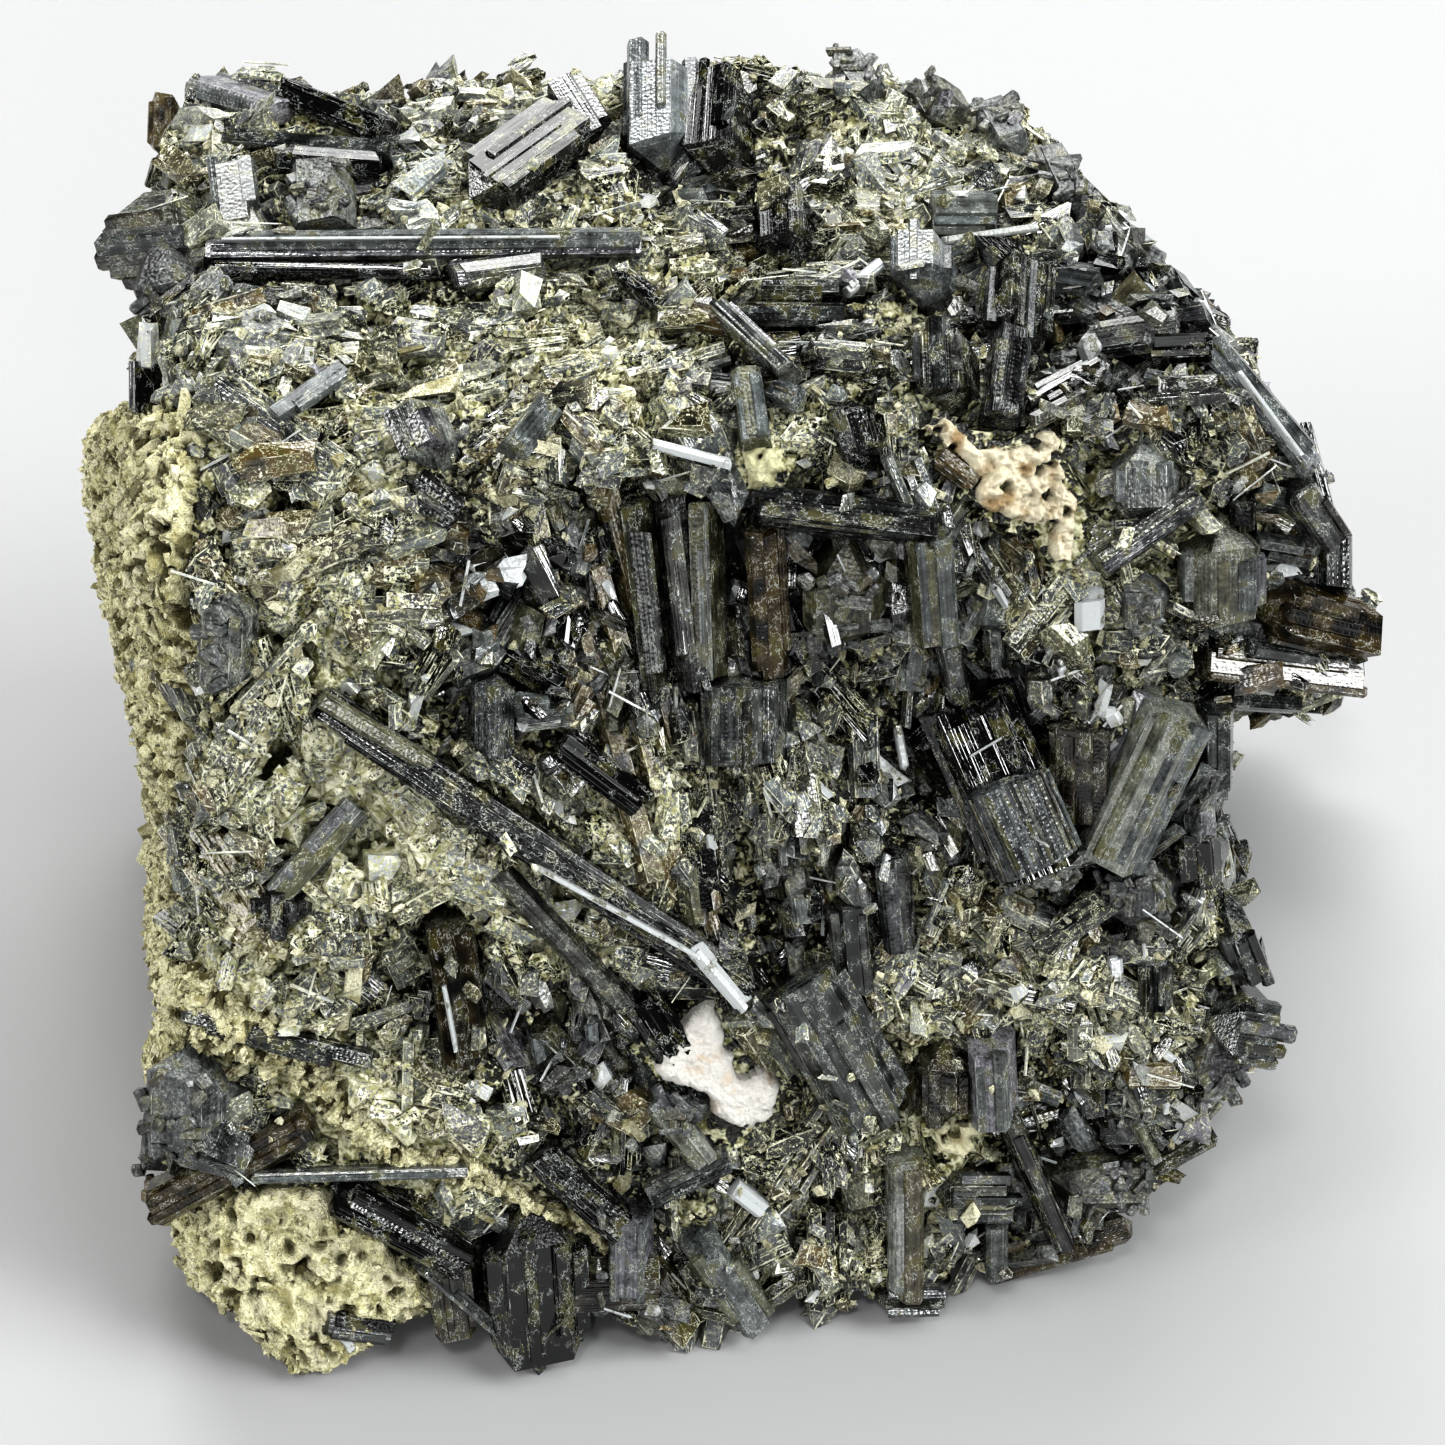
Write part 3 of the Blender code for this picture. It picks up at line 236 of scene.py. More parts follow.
# Small crystals that stand out in the photograph, in the same form as the rows above. Rows of the white
# look are painted highlights, white glints on faces and edges, and rows set 4 mm or more over the block are
# light strips laid along the tops of larger crystals as painted highlights.
SMALL_CRYSTALS_AND_PAINTED_HIGHLIGHTS = (
    ((943, 241), (1038, 227), 9, 1.2, 1.8, 1.8, 0, "flat", "w"),
    ((1112, 956), (1114, 980), 13, 1.5, 1.6, 1.6, 0, "flat", "w"),
    ((652, 444), (730, 464), 10, 1.4, 1.8, 1.8, 30, "flat", "w"),
    ((846, 293), (880, 266), 12, 1.4, 1.8, 1.8, 0, "flat", "w"),
    ((212, 268), (430, 272), 16, 2.5, 1.2, 1.2, 0, "flat", "k"),
    ((1244, 497), (1244, 526), 26, 3.0, 1.0, 1.0, 0, "chisel", "s"),
    ((1092, 594), (1092, 626), 26, 3.0, 1.2, 1.2, 0, "flat", "w"),
    ((733, 1186), (761, 1208), 22, 2.0, 1.4, 1.4, 0, "flat", "w"),
    ((716, 940), (738, 1012), 16, 3.0, 1.8, 2.0, -20, "flat", "k"),
    ((1228, 702), (1294, 706), 16, 3.0, 0.4, 0.2, 0, "flat", "s"),
    ((897, 726), (905, 770), 10, 1.4, 1.4, 1.4, 0, "chisel", "w"),
    ((777, 391), (800, 400), 26, 2.4, 1.2, 1.2, 0, "flat", "l"),
    ((690, 318), (738, 330), 22, 2.4, 1.0, 1.0, 0, "chisel", "b"),
    ((934, 452), (976, 484), 30, 2.0, 0.6, 0.6, 0, "chisel", "b"),
    ((150, 1188), (196, 1192), 30, 3.0, 1.0, 1.0, 0, "chisel", "b"),
    ((330, 1320), (352, 1348), 12, 1.6, 1.4, 1.4, 0, "flat", "w"),
    ((1136, 1122), (1156, 1160), 14, 2.0, 1.6, 1.6, 0, "flat", "g"),
    # Painted highlights: light strips laid high along the tops of larger crystals, and white glints
    ((322, 697), (432, 764), 15, 3.0, 5.6, 5.6, 0, "flat", "g"),
    ((538, 868), (694, 954), 6, 3.0, 5.8, 5.8, 0, "flat", "w"),
    ((694, 946), (744, 1004), 12, 3.0, 5.4, 5.4, 25, "flat", "w"),
    ((444, 985), (456, 1050), 5, 2.0, 4.6, 4.6, 0, "flat", "w"),
    ((1238, 372), (1300, 455), 7, 2.0, 4.4, 4.4, 0, "flat", "w"),
    ((222, 240), (560, 238), 5, 2.0, 4.4, 4.2, 0, "flat", "w"),
    ((985, 1108), (1004, 1124), 14, 2.0, 1.6, 1.6, 0, "flat", "w"),
    ((1006, 782), (1042, 864), 90, 2.4, 5.1, 5.9, 0, "flat", "l"),
)
MISSED_SINK = 3.0
STEEPEST_SHARE = 0.35
EMBEDDING = 1.6

# Crystals on the sides that the photograph doesn't show, as count, seed and ranges
HIDDEN_COUNT = 44
HIDDEN_SEED = 11
HIDDEN_LENGTH = (9.0, 22.0)
HIDDEN_WIDTH = (3.5, 7.0)
HIDDEN_FLATNESS = 0.8
HIDDEN_TILT = 0.35
HIDDEN_ROLL = 60
HIDDEN_FACING = 0.35
HIDDEN_LOWEST = 6.0
HIDDEN_RISE = 0.15

# Tone, brownness and frostiness of each look
LOOKS = {
    "k": (0.05, 0.0, 0.05),
    "s": (0.35, 0.0, 0.15),
    "g": (0.65, 0.0, 0.25),
    # w is white: a painted highlight on the glint and lit-edge strips, also used on some small crystals and
    # needles
    "w": (1.3, 0.0, 0.3),
    "b": (0.3, 0.9, 0.4),
    "d": (0.12, 0.45, 0.2),
    "o": (0.3, 0.25, 0.1),
    "l": (0.6, 0.0, 0.12),
    "m": (0.5, 0.05, 0.75),
}

# Colours of the lightest crystal faces, from the share of the crystals at which each begins
TINTS = (
    (0.0, (0.34, 0.33, 0.37)),
    (1.0, (0.17, 0.14, 0.09)),
    (0.1, (0.24, 0.262, 0.272)),
    (0.5, (0.20, 0.225, 0.217)),
    (0.72, (0.36, 0.375, 0.345)),
    (0.88, (0.20, 0.205, 0.12)),
)

# Directions in which the crystals lie: a place in pixels, its radius, the direction in degrees
# and its strength
FLOWS = (
    ((690, 590), 120, 108, 1.6), ((830, 850), 140, 98, 1.4), ((450, 1000), 110, 84, 1.2),
    ((430, 300), 240, 2, 1.2), ((800, 330), 170, -4, 1.0), ((1160, 400), 120, -52, 1.0),
    ((1170, 780), 110, 62, 1.0), ((880, 1220), 130, 86, 1.2), ((640, 1240), 120, -38, 1.0),
    ((280, 720), 120, 72, 0.9), ((200, 120), 130, -15, 1.0), ((1280, 640), 110, -10, 1.2),
    ((560, 900), 140, -34, 1.2), ((330, 520), 120, 20, 0.7), ((980, 560), 110, 88, 1.0),
    ((260, 1100), 120, 25, 0.8), ((1100, 1120), 120, -45, 0.8), ((700, 780), 100, 95, 1.0),
)

# Where pale granular mineral shows between the crystals: a place in pixels, its radius and how
# much more or less of it there is
PALE_PLACES = (
    ((420, 330), 190, 0.02), ((300, 290), 110, 0.0), ((620, 360), 110, 0.2),
    ((560, 110), 90, 0.2), ((900, 200), 80, 0.25), ((850, 150), 60, 0.1),
    ((430, 430), 110, 0.22), ((330, 600), 110, 0.24), ((250, 640), 60, 0.2),
    ((420, 850), 110, 0.38), ((300, 830), 80, 0.45), ((560, 930), 60, 0.2),
    ((240, 1010), 90, 0.5), ((370, 1110), 80, 0.55), ((480, 1180), 60, 0.3),
    ((660, 790), 70, 0.3), ((780, 460), 60, 0.25), ((1090, 740), 60, 0.25),
    ((1080, 990), 90, 0.3), ((930, 1050), 90, 0.25), ((960, 1140), 60, 0.3),
    ((720, 1230), 70, 0.15), ((1150, 560), 80, 0.2), ((1010, 130), 60, 0.15),
    ((670, 570), 90, -0.4), ((500, 580), 60, -0.3), ((1000, 760), 90, -0.55),
    ((450, 960), 60, -0.3), ((760, 900), 80, -0.3), ((560, 1290), 90, -0.6),
    ((1100, 320), 90, -0.35), ((1170, 880), 90, -0.25), ((830, 590), 90, -0.25),
    ((700, 130), 60, -0.25), ((1010, 320), 60, -0.2), ((1260, 580), 110, -0.25),
    ((190, 1110), 60, -0.3), ((620, 1080), 90, -0.2), ((1060, 1190), 100, -0.3),
)
PALE_ELSEWHERE = 0.34

# The granular crust on the left side, as a region in pixels
CRUST_REGION = (
    (40, 408), (204, 404), (184, 560), (180, 700), (174, 850), (170, 985), (176, 1012),
    (186, 1100), (192, 1186), (330, 1192), (442, 1292), (460, 1420), (40, 1420),
)
CRUST_BACK = 40.0
CRUST_EDGE = 14.0
CRUST_WANDER = 50.0
CREAM_LEDGE = (
    (166, 960), (196, 968), (222, 994), (262, 1006), (286, 1032), (334, 1060), (354, 1104), (394, 1138),
    (470, 1164), (548, 1200), (616, 1234), (640, 1264), (560, 1232), (490, 1196), (420, 1182), (366, 1168),
    (318, 1124), (288, 1086), (240, 1072), (200, 1048), (168, 1012),
)

# Patches of pale mineral: the outline in pixels, and the height over the block
PATCHES = {
    "calcite_patch": (
        ((716, 998), (704, 1003), (690, 1016), (672, 1030), (659, 1044), (655, 1062), (658, 1078),
         (676, 1084), (690, 1086), (704, 1094), (713, 1110), (722, 1122), (738, 1127), (752, 1124),
         (766, 1118), (776, 1100), (777, 1086), (772, 1072), (760, 1070), (748, 1074), (738, 1072),
         (734, 1056), (726, 1048), (722, 1030)),
        2.0,
    ),
    "feldspar_patch": (
        ((926, 424), (948, 419), (968, 434), (992, 444), (1014, 450), (1030, 440), (1044, 431),
         (1058, 432), (1062, 456), (1064, 478), (1076, 500), (1080, 524), (1074, 546), (1062, 574),
         (1052, 556), (1050, 536), (1034, 520), (1016, 524), (1000, 516), (984, 512), (978, 496),
         (982, 480), (966, 470), (956, 454)),
        1.5,
    ),
    "feldspar_bit_upper": (
        ((742, 452), (760, 444), (780, 450), (786, 466), (776, 478), (770, 492), (754, 488),
         (744, 490), (746, 470)),
        1.2,
    ),
    "feldspar_bit_lower": (
        ((928, 1130), (940, 1120), (958, 1124), (976, 1119), (986, 1134), (974, 1146), (964, 1160),
         (948, 1152), (936, 1158), (938, 1142)),
        1.2,
    ),
}
PATCH_SLOPE = 1.1
ROOT_SHARE = 0.4

# The mass between the crystals: its grid, how deep it lies, and the count, height and tilt of facets
BASE_CELLS = 104
BASE_SINK = 3.0
NEAR_CRUST_SINK = 1.4
LEAST_SINK = 0.7
FACETS = ((1500, 1.1, 0.35), (9000, 0.45, 0.5))

# The crust: how deep the mass lies under it, how its rim falls off, and its pits
CRUST_SINK = 1.8
CRUST_RIM = 1.6
RIM_DEPTH = 2.6
CRUST_CUTS = 4
CRUST_PITS = 2600
LEDGE_PITS = 120
PATCH_CUTS = 5
CRUST_REACH = 24
PATCH_REACH = 14

# How densely crystals lie on the seen and hidden sides, at the foot and on the crust
SEEN_WEIGHT = 1.7
HIDDEN_WEIGHT = 0.8
FOOT_HEIGHT = 2.5
FOOT_WEIGHT = 0.02
CRUST_WEIGHT = 0.04

# How many crystals and grains there are of each kind, and how large they are in millimetres
MEDIUM_COUNT = 3600
MEDIUM_WIDTH = 2.9
MEDIUM_TOP = 1.2
MEDIUM_SPREAD = 3.6
PLACED_SINK = 1.8
PATCH_SINK = 1.0
DROP_HEIGHT = 6
SMALL_COUNT = 7000
SMALL_WIDTH = 1.1
NEEDLE_COUNT = 800
NEEDLE_LENGTH = (2.0, 5.0)
NEEDLE_WIDTH = (0.14, 0.36)
GRAIN_COUNT = 6500
GRAIN_TRIES = 16900
GRAIN_SIZE = 0.42
CRUST_GRAINS = 11000
LEDGE_GRAINS = 1800
CRUST_GRAIN_SIZE = 0.34
FLUTE_WIDTH = 0.6
STEP_WIDTH = 1.9
SEED = 5

# Sugary patches: how rough each is, where it breaks off, its slot, and its colours as low, high
# and stain with the level at which the stain begins
PATCH_LOOKS = (
    ("calcite_patch", 0.3, 0.75, "calcite",
     ((0.50, 0.48, 0.44), (0.90, 0.88, 0.83), (0.62, 0.52, 0.40), 0.6)),
    ("feldspar_patch", 0.8, 0.34, "feldspar",
     ((0.55, 0.48, 0.32), (0.92, 0.87, 0.70), (0.30, 0.19, 0.07), 0.58)),
    ("feldspar_bit_upper", 0.6, 0.35, "feldspar",
     ((0.42, 0.42, 0.22), (0.78, 0.77, 0.55), (0.2, 0.17, 0.06), 0.58)),
    ("feldspar_bit_lower", 0.6, 0.35, "feldspar",
     ((0.5, 0.48, 0.28), (0.88, 0.85, 0.65), (0.25, 0.2, 0.08), 0.58)),
)

# Lights as name, place and size in metres, power and colour
LIGHTS = (
    ("back_top", (0.1, 2.4, 2.5), (3.4, 2.0), 76.0, (1, 1, 0.99)),
    ("back_strip", (-0.6, 1.6, 2.4), (0.9, 0.24), 9.0, (1, 1, 1)),
    ("left", (-2.7, -1.1, 1.3), (1.0, 1.0), 32.0, (1, 1, 0.99)),
    ("right_top", (2.4, -0.4, 1.9), (1.6, 1.6), 64.0, (0.98, 0.99, 1)),
    ("front_top", (-0.4, -1.4, 2.9), (0.6, 0.4), 19.0, (1, 1, 1)),
    ("front_low", (0.8, -2.9, 1.3), (0.6, 0.6), 19.0, (0.98, 0.99, 1)),
)
LIGHT_AIM = Vector((0, 0, 0.04))
STUDIO_COLOUR = (0.985, 0.995, 1.0)
STUDIO_CELLS = 2.6
STUDIO_CONTRAST = 13.0
STUDIO_BRIGHT = 4.5
STUDIO_DARK = 0.02
FLOOR_COLOUR = (0.375, 0.375, 0.376, 1)
FLOOR_ROUGHNESS = 0.9
FLOOR_REACH = 6
SENSOR_WIDTH = 36

# Sections of the crystals as shares of the width and the thickness, then rings along the axis as
# shares of the half length and of the section
FLAT_SECTION = np.array((
    (-0.5, -0.2), (-0.42, 0.22), (-0.3, 0.44), (0.26, 0.5),
    (0.42, 0.3), (0.5, -0.1), (0.3, -0.5), (-0.3, -0.5),
))
HEXAGON = np.array(((-0.5, -0.1), (-0.3, 0.5), (0.27, 0.5), (0.5, 0.12), (0.3, -0.5), (-0.28, -0.5)))
BLADE = np.array(((-0.5, 0.16), (0.18, 0.5), (0.5, -0.2), (-0.2, -0.5)))
BEVELLED_ENDS = ((-1.0, 0.86), (-0.975, 1.0), (0.975, 1.0), (1.0, 0.86))
PLAIN_ENDS = ((-1.0, 1.0), (1.0, 1.0))
CHUNK_RINGS = ((-1.0, 0.72), (-0.05, 1.05), (1.0, 0.75))


def on_photo(pixels):
    """The unit directions in which the viewer sees pixels."""
    pixels = np.atleast_2d(np.asarray(pixels, float))
    across = (pixels[:, :1] - PHOTO_SIDE / 2) * PHOTO_SCALE
    above = (PHOTO_SIDE / 2 - pixels[:, 1:]) * PHOTO_SCALE
    rays = across * VIEW_RIGHT + above * VIEW_UP - TOWARDS_VIEWER * VIEW_DISTANCE
    return unit(rays)


def unit(vectors):
    return vectors / np.linalg.norm(vectors, axis=-1, keepdims=True)


def photo_places(points):
    """The pixels at which the viewer sees points."""
    offset = points - VIEWER
    share = VIEW_DISTANCE / (-(offset @ TOWARDS_VIEWER) * PHOTO_SCALE)
    half = PHOTO_SIDE / 2
    return np.stack([half + offset @ VIEW_RIGHT * share, half - offset @ VIEW_UP * share], axis=-1)


def inside(places, polygon):
    """Which pixels lie in a polygon."""
    found = np.zeros(len(places), bool)
    for (x0, y0), (x1, y1) in zip(polygon, polygon[1:] + polygon[:1]):
        if y0 == y1:
            continue
        crosses = (y0 > places[:, 1]) != (y1 > places[:, 1])
        found ^= crosses & (places[:, 0] < x0 + (places[:, 1] - y0) / (y1 - y0) * (x1 - x0))
    return found


def outline_distance(directions):
    """How far each direction from the heart runs before it leaves the outline of the photograph."""
    from_viewer = np.array(HEART) - VIEWER
    depth = -from_viewer @ TOWARDS_VIEWER
    right = from_viewer @ VIEW_RIGHT
    above = from_viewer @ VIEW_UP
    away = -directions @ TOWARDS_VIEWER
    step_u = directions @ VIEW_RIGHT * depth - right * away
    step_v = directions @ VIEW_UP * depth - above * away
    corners = (np.array(OUTLINE, float) - PHOTO_SIDE / 2) * (1, -1) * PHOTO_SCALE / VIEW_DISTANCE
    corners = corners - (right / depth, above / depth)
    edges = np.roll(corners, -1, axis=0) - corners
    nearest = np.full(len(directions), np.inf)
    for (x, y), (edge_x, edge_y) in zip(corners, edges):
        cross = step_u * edge_y - step_v * edge_x
        cross[np.abs(cross) < 1e-12] = 1e-12
        reach = (x * edge_y - y * edge_x) / cross
        along = (x * step_v - y * step_u) / cross
        met = (reach > 0) & (along >= 0) & (along <= 1)
        nearest = np.where(met, np.minimum(nearest, reach), nearest)
    left = 1 - nearest * depth * away
    return np.where(left > 0, nearest * depth**2 / np.maximum(left, 1e-12), np.inf)


def block_distance(directions):
    """How far the surface of the block lies from its heart in each direction, without its hollows."""
    inverse = np.zeros(len(directions))
    for normal, point in BLOCK_FACES:
        normal = unit(np.array(normal, float))
        offset = normal @ (np.array(point) - np.array(HEART))
        inverse += np.maximum(directions @ normal / offset, 0) ** EDGE_SHARPNESS
    distance = inverse ** (-1 / EDGE_SHARPNESS)
    return np.minimum(distance, outline_distance(directions))


def noise_at(points, size, seed=0):
    """Smooth noise from -1 to 1 at points, with features of a size."""
    shift = Vector((17.3, 5.1, 9.7)) * seed
    return np.array([noise.noise(Vector(point) / size + shift) for point in points])


def lumps(points):
    """Height of the rough surface at points, as a share of the distance from the heart."""
    height = np.zeros(len(points))
    for size in LUMP_SIZES:
        height += noise_at(points, size) * size / LUMP_SIZES[0]
    return LUMP_SHARE * height


def seen_on_block(pixel):
    """The point of the smooth block that a pixel shows."""
    ray = on_photo(pixel)[0]
    steps = np.arange(200.0, 500.0, 0.5)
    points = VIEWER + steps[:, None] * ray
    offset = points - np.array(HEART)
    length = np.linalg.norm(offset, axis=1)
    return points[np.argmax(length < block_distance(offset / length[:, None]))]


def block_points(directions):
    """The rough surface of the block in the given directions."""
    heart = np.array(HEART)
    points = heart + directions * block_distance(directions)[:, None]
    distance = np.linalg.norm(points - heart, axis=1) * (1 + lumps(points))
    distance = np.minimum(distance, outline_distance(directions))
    points = heart + directions * distance[:, None]
    for pixel, radius, depth in HOLLOWS:
        near = np.exp(-(np.linalg.norm(points - seen_on_block(pixel), axis=1) / radius) ** 2)
        points = points - directions * (near * depth)[:, None]
    return points


def sphere_grid(cells):
    """Directions and quads of a cube's grid that is blown up to a sphere."""
    mesh = bmesh.new()
    bmesh.ops.create_cube(mesh, size=2)
    bmesh.ops.subdivide_edges(mesh, edges=mesh.edges[:], cuts=cells - 1, use_grid_fill=True)
    mesh.verts.index_update()
    corners = np.array([vert.co[:] for vert in mesh.verts])
    quads = np.array([[vert.index for vert in face.verts] for face in mesh.faces])
    mesh.free()
    return unit(np.tan(corners * math.pi / 4)), quads


def vertex_normals(points, quads):
    """Unit normals at the corners of a closed mesh of quads that face outwards."""
    first = points[quads[:, 2]] - points[quads[:, 0]]
    second = points[quads[:, 3]] - points[quads[:, 1]]
    faces = np.cross(first, second)
    normals = np.zeros_like(points)
    for corner in range(4):
        np.add.at(normals, quads[:, corner], faces)
    return unit(normals)


def facet_heights(points, chance, count, height, tilt):
    """Heights of a surface that is broken into flat tilted facets, one about each of some seeds."""
    seeds = points[chance.choice(len(points), count, replace=False)]
    lift = chance.uniform(-height, height, count)
    slope = chance.normal(size=(count, 3)) * tilt
    tree = KDTree(count)
    for number, seed in enumerate(seeds):
        tree.insert(seed, number)
    tree.balance()
    near = np.array([tree.find(point)[1] for point in points])
    raised = lift[near] + np.einsum("ij,ij->i", points - seeds[near], slope[near])
    return np.clip(raised, -2 * height, 2 * height)


def paleness(points, normals):
    """How much pale granular mineral there is at points."""
    places = photo_places(points)
    seen = normals @ TOWARDS_VIEWER > 0
    amount = PALE_ELSEWHERE + 0.25 * noise_at(points, 14.0, 3) + 0.2 * noise_at(points, 5.0, 4)
    for middle, radius, more in PALE_PLACES:
        far = np.linalg.norm(places - middle, axis=1) / radius
        amount += np.where(seen, more * np.exp(-far**2), 0)
    return np.clip(amount, 0, 1)


def flow_directions(points, normals, chance, spread):
    """The directions in which crystals lie at points of the surface."""
    places = photo_places(points)
    seen = normals @ TOWARDS_VIEWER > 0.1
    turn = 2 * math.pi * noise_at(points, 30.0, 6)
    double = np.stack([np.cos(2 * turn), np.sin(2 * turn)], axis=1) * 0.25
    for middle, radius, angle, strength in FLOWS:
        pull = strength * np.exp(-(np.linalg.norm(places - middle, axis=1) / radius) ** 2)
        way = math.radians(2 * angle)
        double += np.where(seen, pull, 0)[:, None] * (math.cos(way), math.sin(way))
    firm = np.clip(np.linalg.norm(double, axis=1), 0.15, 1.2)
    angle = np.arctan2(double[:, 1], double[:, 0]) / 2
    angle += chance.normal(size=len(points)) * spread / firm
    lying = np.cos(angle)[:, None] * VIEW_RIGHT + np.sin(angle)[:, None] * VIEW_UP
    other = unit(np.cross(normals, chance.normal(size=(len(points), 3))))
    lying = np.where(seen[:, None], lying, other)
    lying = lying - normals * np.einsum("ij,ij->i", lying, normals)[:, None]
    return unit(lying + 1e-6)


def prisms(middle, axis, facing, length, width, thickness, section, rings, chance, ends, feet, looks,
           broken=0.0):
    """Many prisms as one mesh. Each has rings of the section along its axis, tilted end planes and
    a point in the middle of each end. feet holds a point and a normal of the surface that carries
    each prism, looks its tone, brownness and frostiness, and broken how far its corners stray."""
    count = len(middle)
    side = unit(np.cross(axis, facing))
    face = np.cross(side, axis)
    corners = len(section)
    tilt = chance.normal(size=(count, 2, 2)) * (0.08, 0.2)
    blocks = []
    local = []
    for along, scale in rings:
        stray = 1 + broken * chance.normal(size=(3, count, corners))
        across = width[:, None] * section[None, :, 0] * scale * stray[0]
        through = thickness[:, None] * section[None, :, 1] * scale * stray[1]
        end = int(along > 0)
        slant = across * tilt[:, end, :1] + through * tilt[:, end, 1:]
        cut = ends[:, None] * np.abs(across)
        run = np.sign(along) * (length[:, None] / 2 * abs(along) * stray[2] - cut) + slant
        blocks.append(
            middle[:, None] + side[:, None] * across[..., None]
            + axis[:, None] * run[..., None] + face[:, None] * through[..., None]
        )
        local.append(np.stack([across, run, through], axis=-1))
    for sign in (-1, 1):
        run = sign * (length / 2 + 0.06 * width)
        blocks.append((middle + axis * run[:, None])[:, None])
        local.append(np.stack([run * 0, run, run * 0], axis=-1)[:, None])
    points = np.concatenate(blocks, axis=1)
    local = np.concatenate(local, axis=1)
    faces = []
    edge = []
    last = (len(rings) - 1) * corners
    low = len(rings) * corners
    for ring in range(len(rings) - 1):
        for corner in range(corners):
            other = (corner + 1) % corners
            a, b = ring * corners + corner, ring * corners + other
            faces += [(a, b, b + corners), (a, b + corners, a + corners)]
            broad = np.linalg.norm(local[:, a] - local[:, b], axis=1)
            tip = local[:, last + corner]
            runs = [np.linalg.norm(tip - local[:, at], axis=1) for at in (a, a + corners)]
            none = np.zeros(count)
            marks = {a: (none, broad, runs[0]), b: (broad, none, runs[0]),
                     a + corners: (none, broad, runs[1]), b + corners: (broad, none, runs[1])}
            edge += [[marks[at] for at in face] for face in faces[-2:]]
    for corner in range(corners):
        other = (corner + 1) % corners
        faces += [(low, other, corner), (low + 1, last + corner, last + other)]
        rim, hub = (none, none, none), (width / 2, width / 2, width / 2)
        edge += [[hub, rim, rim], [hub, rim, rim]]
    each = points.shape[1]
    faces = np.array(faces)
    edge = np.array(edge).transpose(3, 0, 1, 2)
    first = points[0][faces] - points[0].mean(axis=0)
    if np.linalg.det(first).sum() < 0:
        faces = faces[:, ::-1]
        edge = edge[:, :, ::-1]
    faces = faces[None] + (np.arange(count) * each)[:, None, None]
    foot, normal = feet
    rise = np.einsum("ijk,ik->ij", points - foot[:, None], normal)
    shift = chance.uniform(0, 400, (count, 1, 3))
    return {
        "points": points.reshape(-1, 3),
        "faces": faces.reshape(-1, 3),
        "place": (local + shift).reshape(-1, 3),
        "look": np.repeat(looks, each, axis=0),
        "rise": rise.reshape(-1),
        "pale": np.repeat(paleness(foot, normal), each),
        "tint": np.repeat(chance.random(count), each),
        "edge": edge.reshape(-1, 3),
    }


def merged(parts):
    """One mesh of several."""
    start = 0
    faces = []
    for part in parts:
        faces.append(part["faces"] + start)
        start += len(part["points"])
    whole = {key: np.concatenate([part[key] for part in parts]) for key in parts[0] if key != "faces"}
    whole["faces"] = np.concatenate(faces)
    return whole


def make_piece(name, mesh, material, node="epidote_crystals"):
    """A piece of the scene from a mesh in millimetres."""
    points = mesh["points"].copy()
    points[:, 2] = np.maximum(points[:, 2], 0)
    points = (points + CENTRING) * MM
    faces = mesh["faces"]
    data = bpy.data.meshes.new(name)
    data.vertices.add(len(points))
    data.vertices.foreach_set("co", points.ravel())
    data.loops.add(faces.size)
    data.loops.foreach_set("vertex_index", faces.ravel())
    data.polygons.add(len(faces))
    data.polygons.foreach_set("loop_start", np.arange(len(faces)) * faces.shape[1])
    data.update(calc_edges=True)
    data.polygons.foreach_set("use_smooth", np.zeros(len(data.polygons), bool))
    for key, values in mesh.items():
        if key in ("points", "faces"):
            continue
        kind = "FLOAT_VECTOR" if values.ndim == 2 else "FLOAT"
        layer = data.attributes.new(key, kind, "CORNER" if key == "edge" else "POINT")
        layer.data.foreach_set("vector" if values.ndim == 2 else "value", values.astype(np.float32).ravel())
    data.validate()
    thing = bpy.data.objects.new(name, data)
    bpy.context.scene.collection.objects.link(thing)
    data.materials.append(material)
    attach(thing, "root")
    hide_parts(node)


def tree_of(parts):
    whole_points = np.concatenate([part["points"] for part in parts])
    faces = []
    start = 0
    for part in parts:
        faces += (part["faces"] + start).tolist()
        start += len(part["points"])
    return BVHTree.FromPolygons(whole_points.tolist(), faces)


def surface_near(tree, pixel):
    hit = tree.ray_cast(Vector(VIEWER), Vector(on_photo(pixel)[0]))[0]
    return np.array(hit) if hit else None


def nearness(point):
    return (point - VIEWER) @ TOWARDS_VIEWER


def at_nearness(pixel, near):
    ray = on_photo(pixel)[0]
    return VIEWER + ray * (near / (ray @ TOWARDS_VIEWER))


def crystal_ends(tree, first, second, low, high):
    """The two ends of a crystal's axis, at heights low and high over the block."""
    first = np.array(first, float)
    second = np.array(second, float)
    middle = (first + second) / 2
    heart = photo_places(np.array([HEART], float))[0]
    for step in range(100):
        surface = surface_near(tree, middle + (heart - middle) * step / 100)
        if surface is not None:
            break
    anchor = nearness(surface)
    flat = np.linalg.norm(at_nearness(second, anchor) - at_nearness(first, anchor))
    ends = []
    for pixel, height in ((first, low), (second, high)):
        surface = surface_near(tree, pixel)
        rise = nearness(surface) - anchor if surface is not None else -MISSED_SINK
        rise = max(-flat * STEEPEST_SHARE, min(flat * STEEPEST_SHARE, rise))
        ends.append(at_nearness(pixel, anchor + rise + height - EMBEDDING))
    return ends


def turned(side, axis, degrees):
    """side turned about axis."""
    return np.array(Matrix.Rotation(math.radians(degrees), 3, Vector(axis)) @ Vector(side))


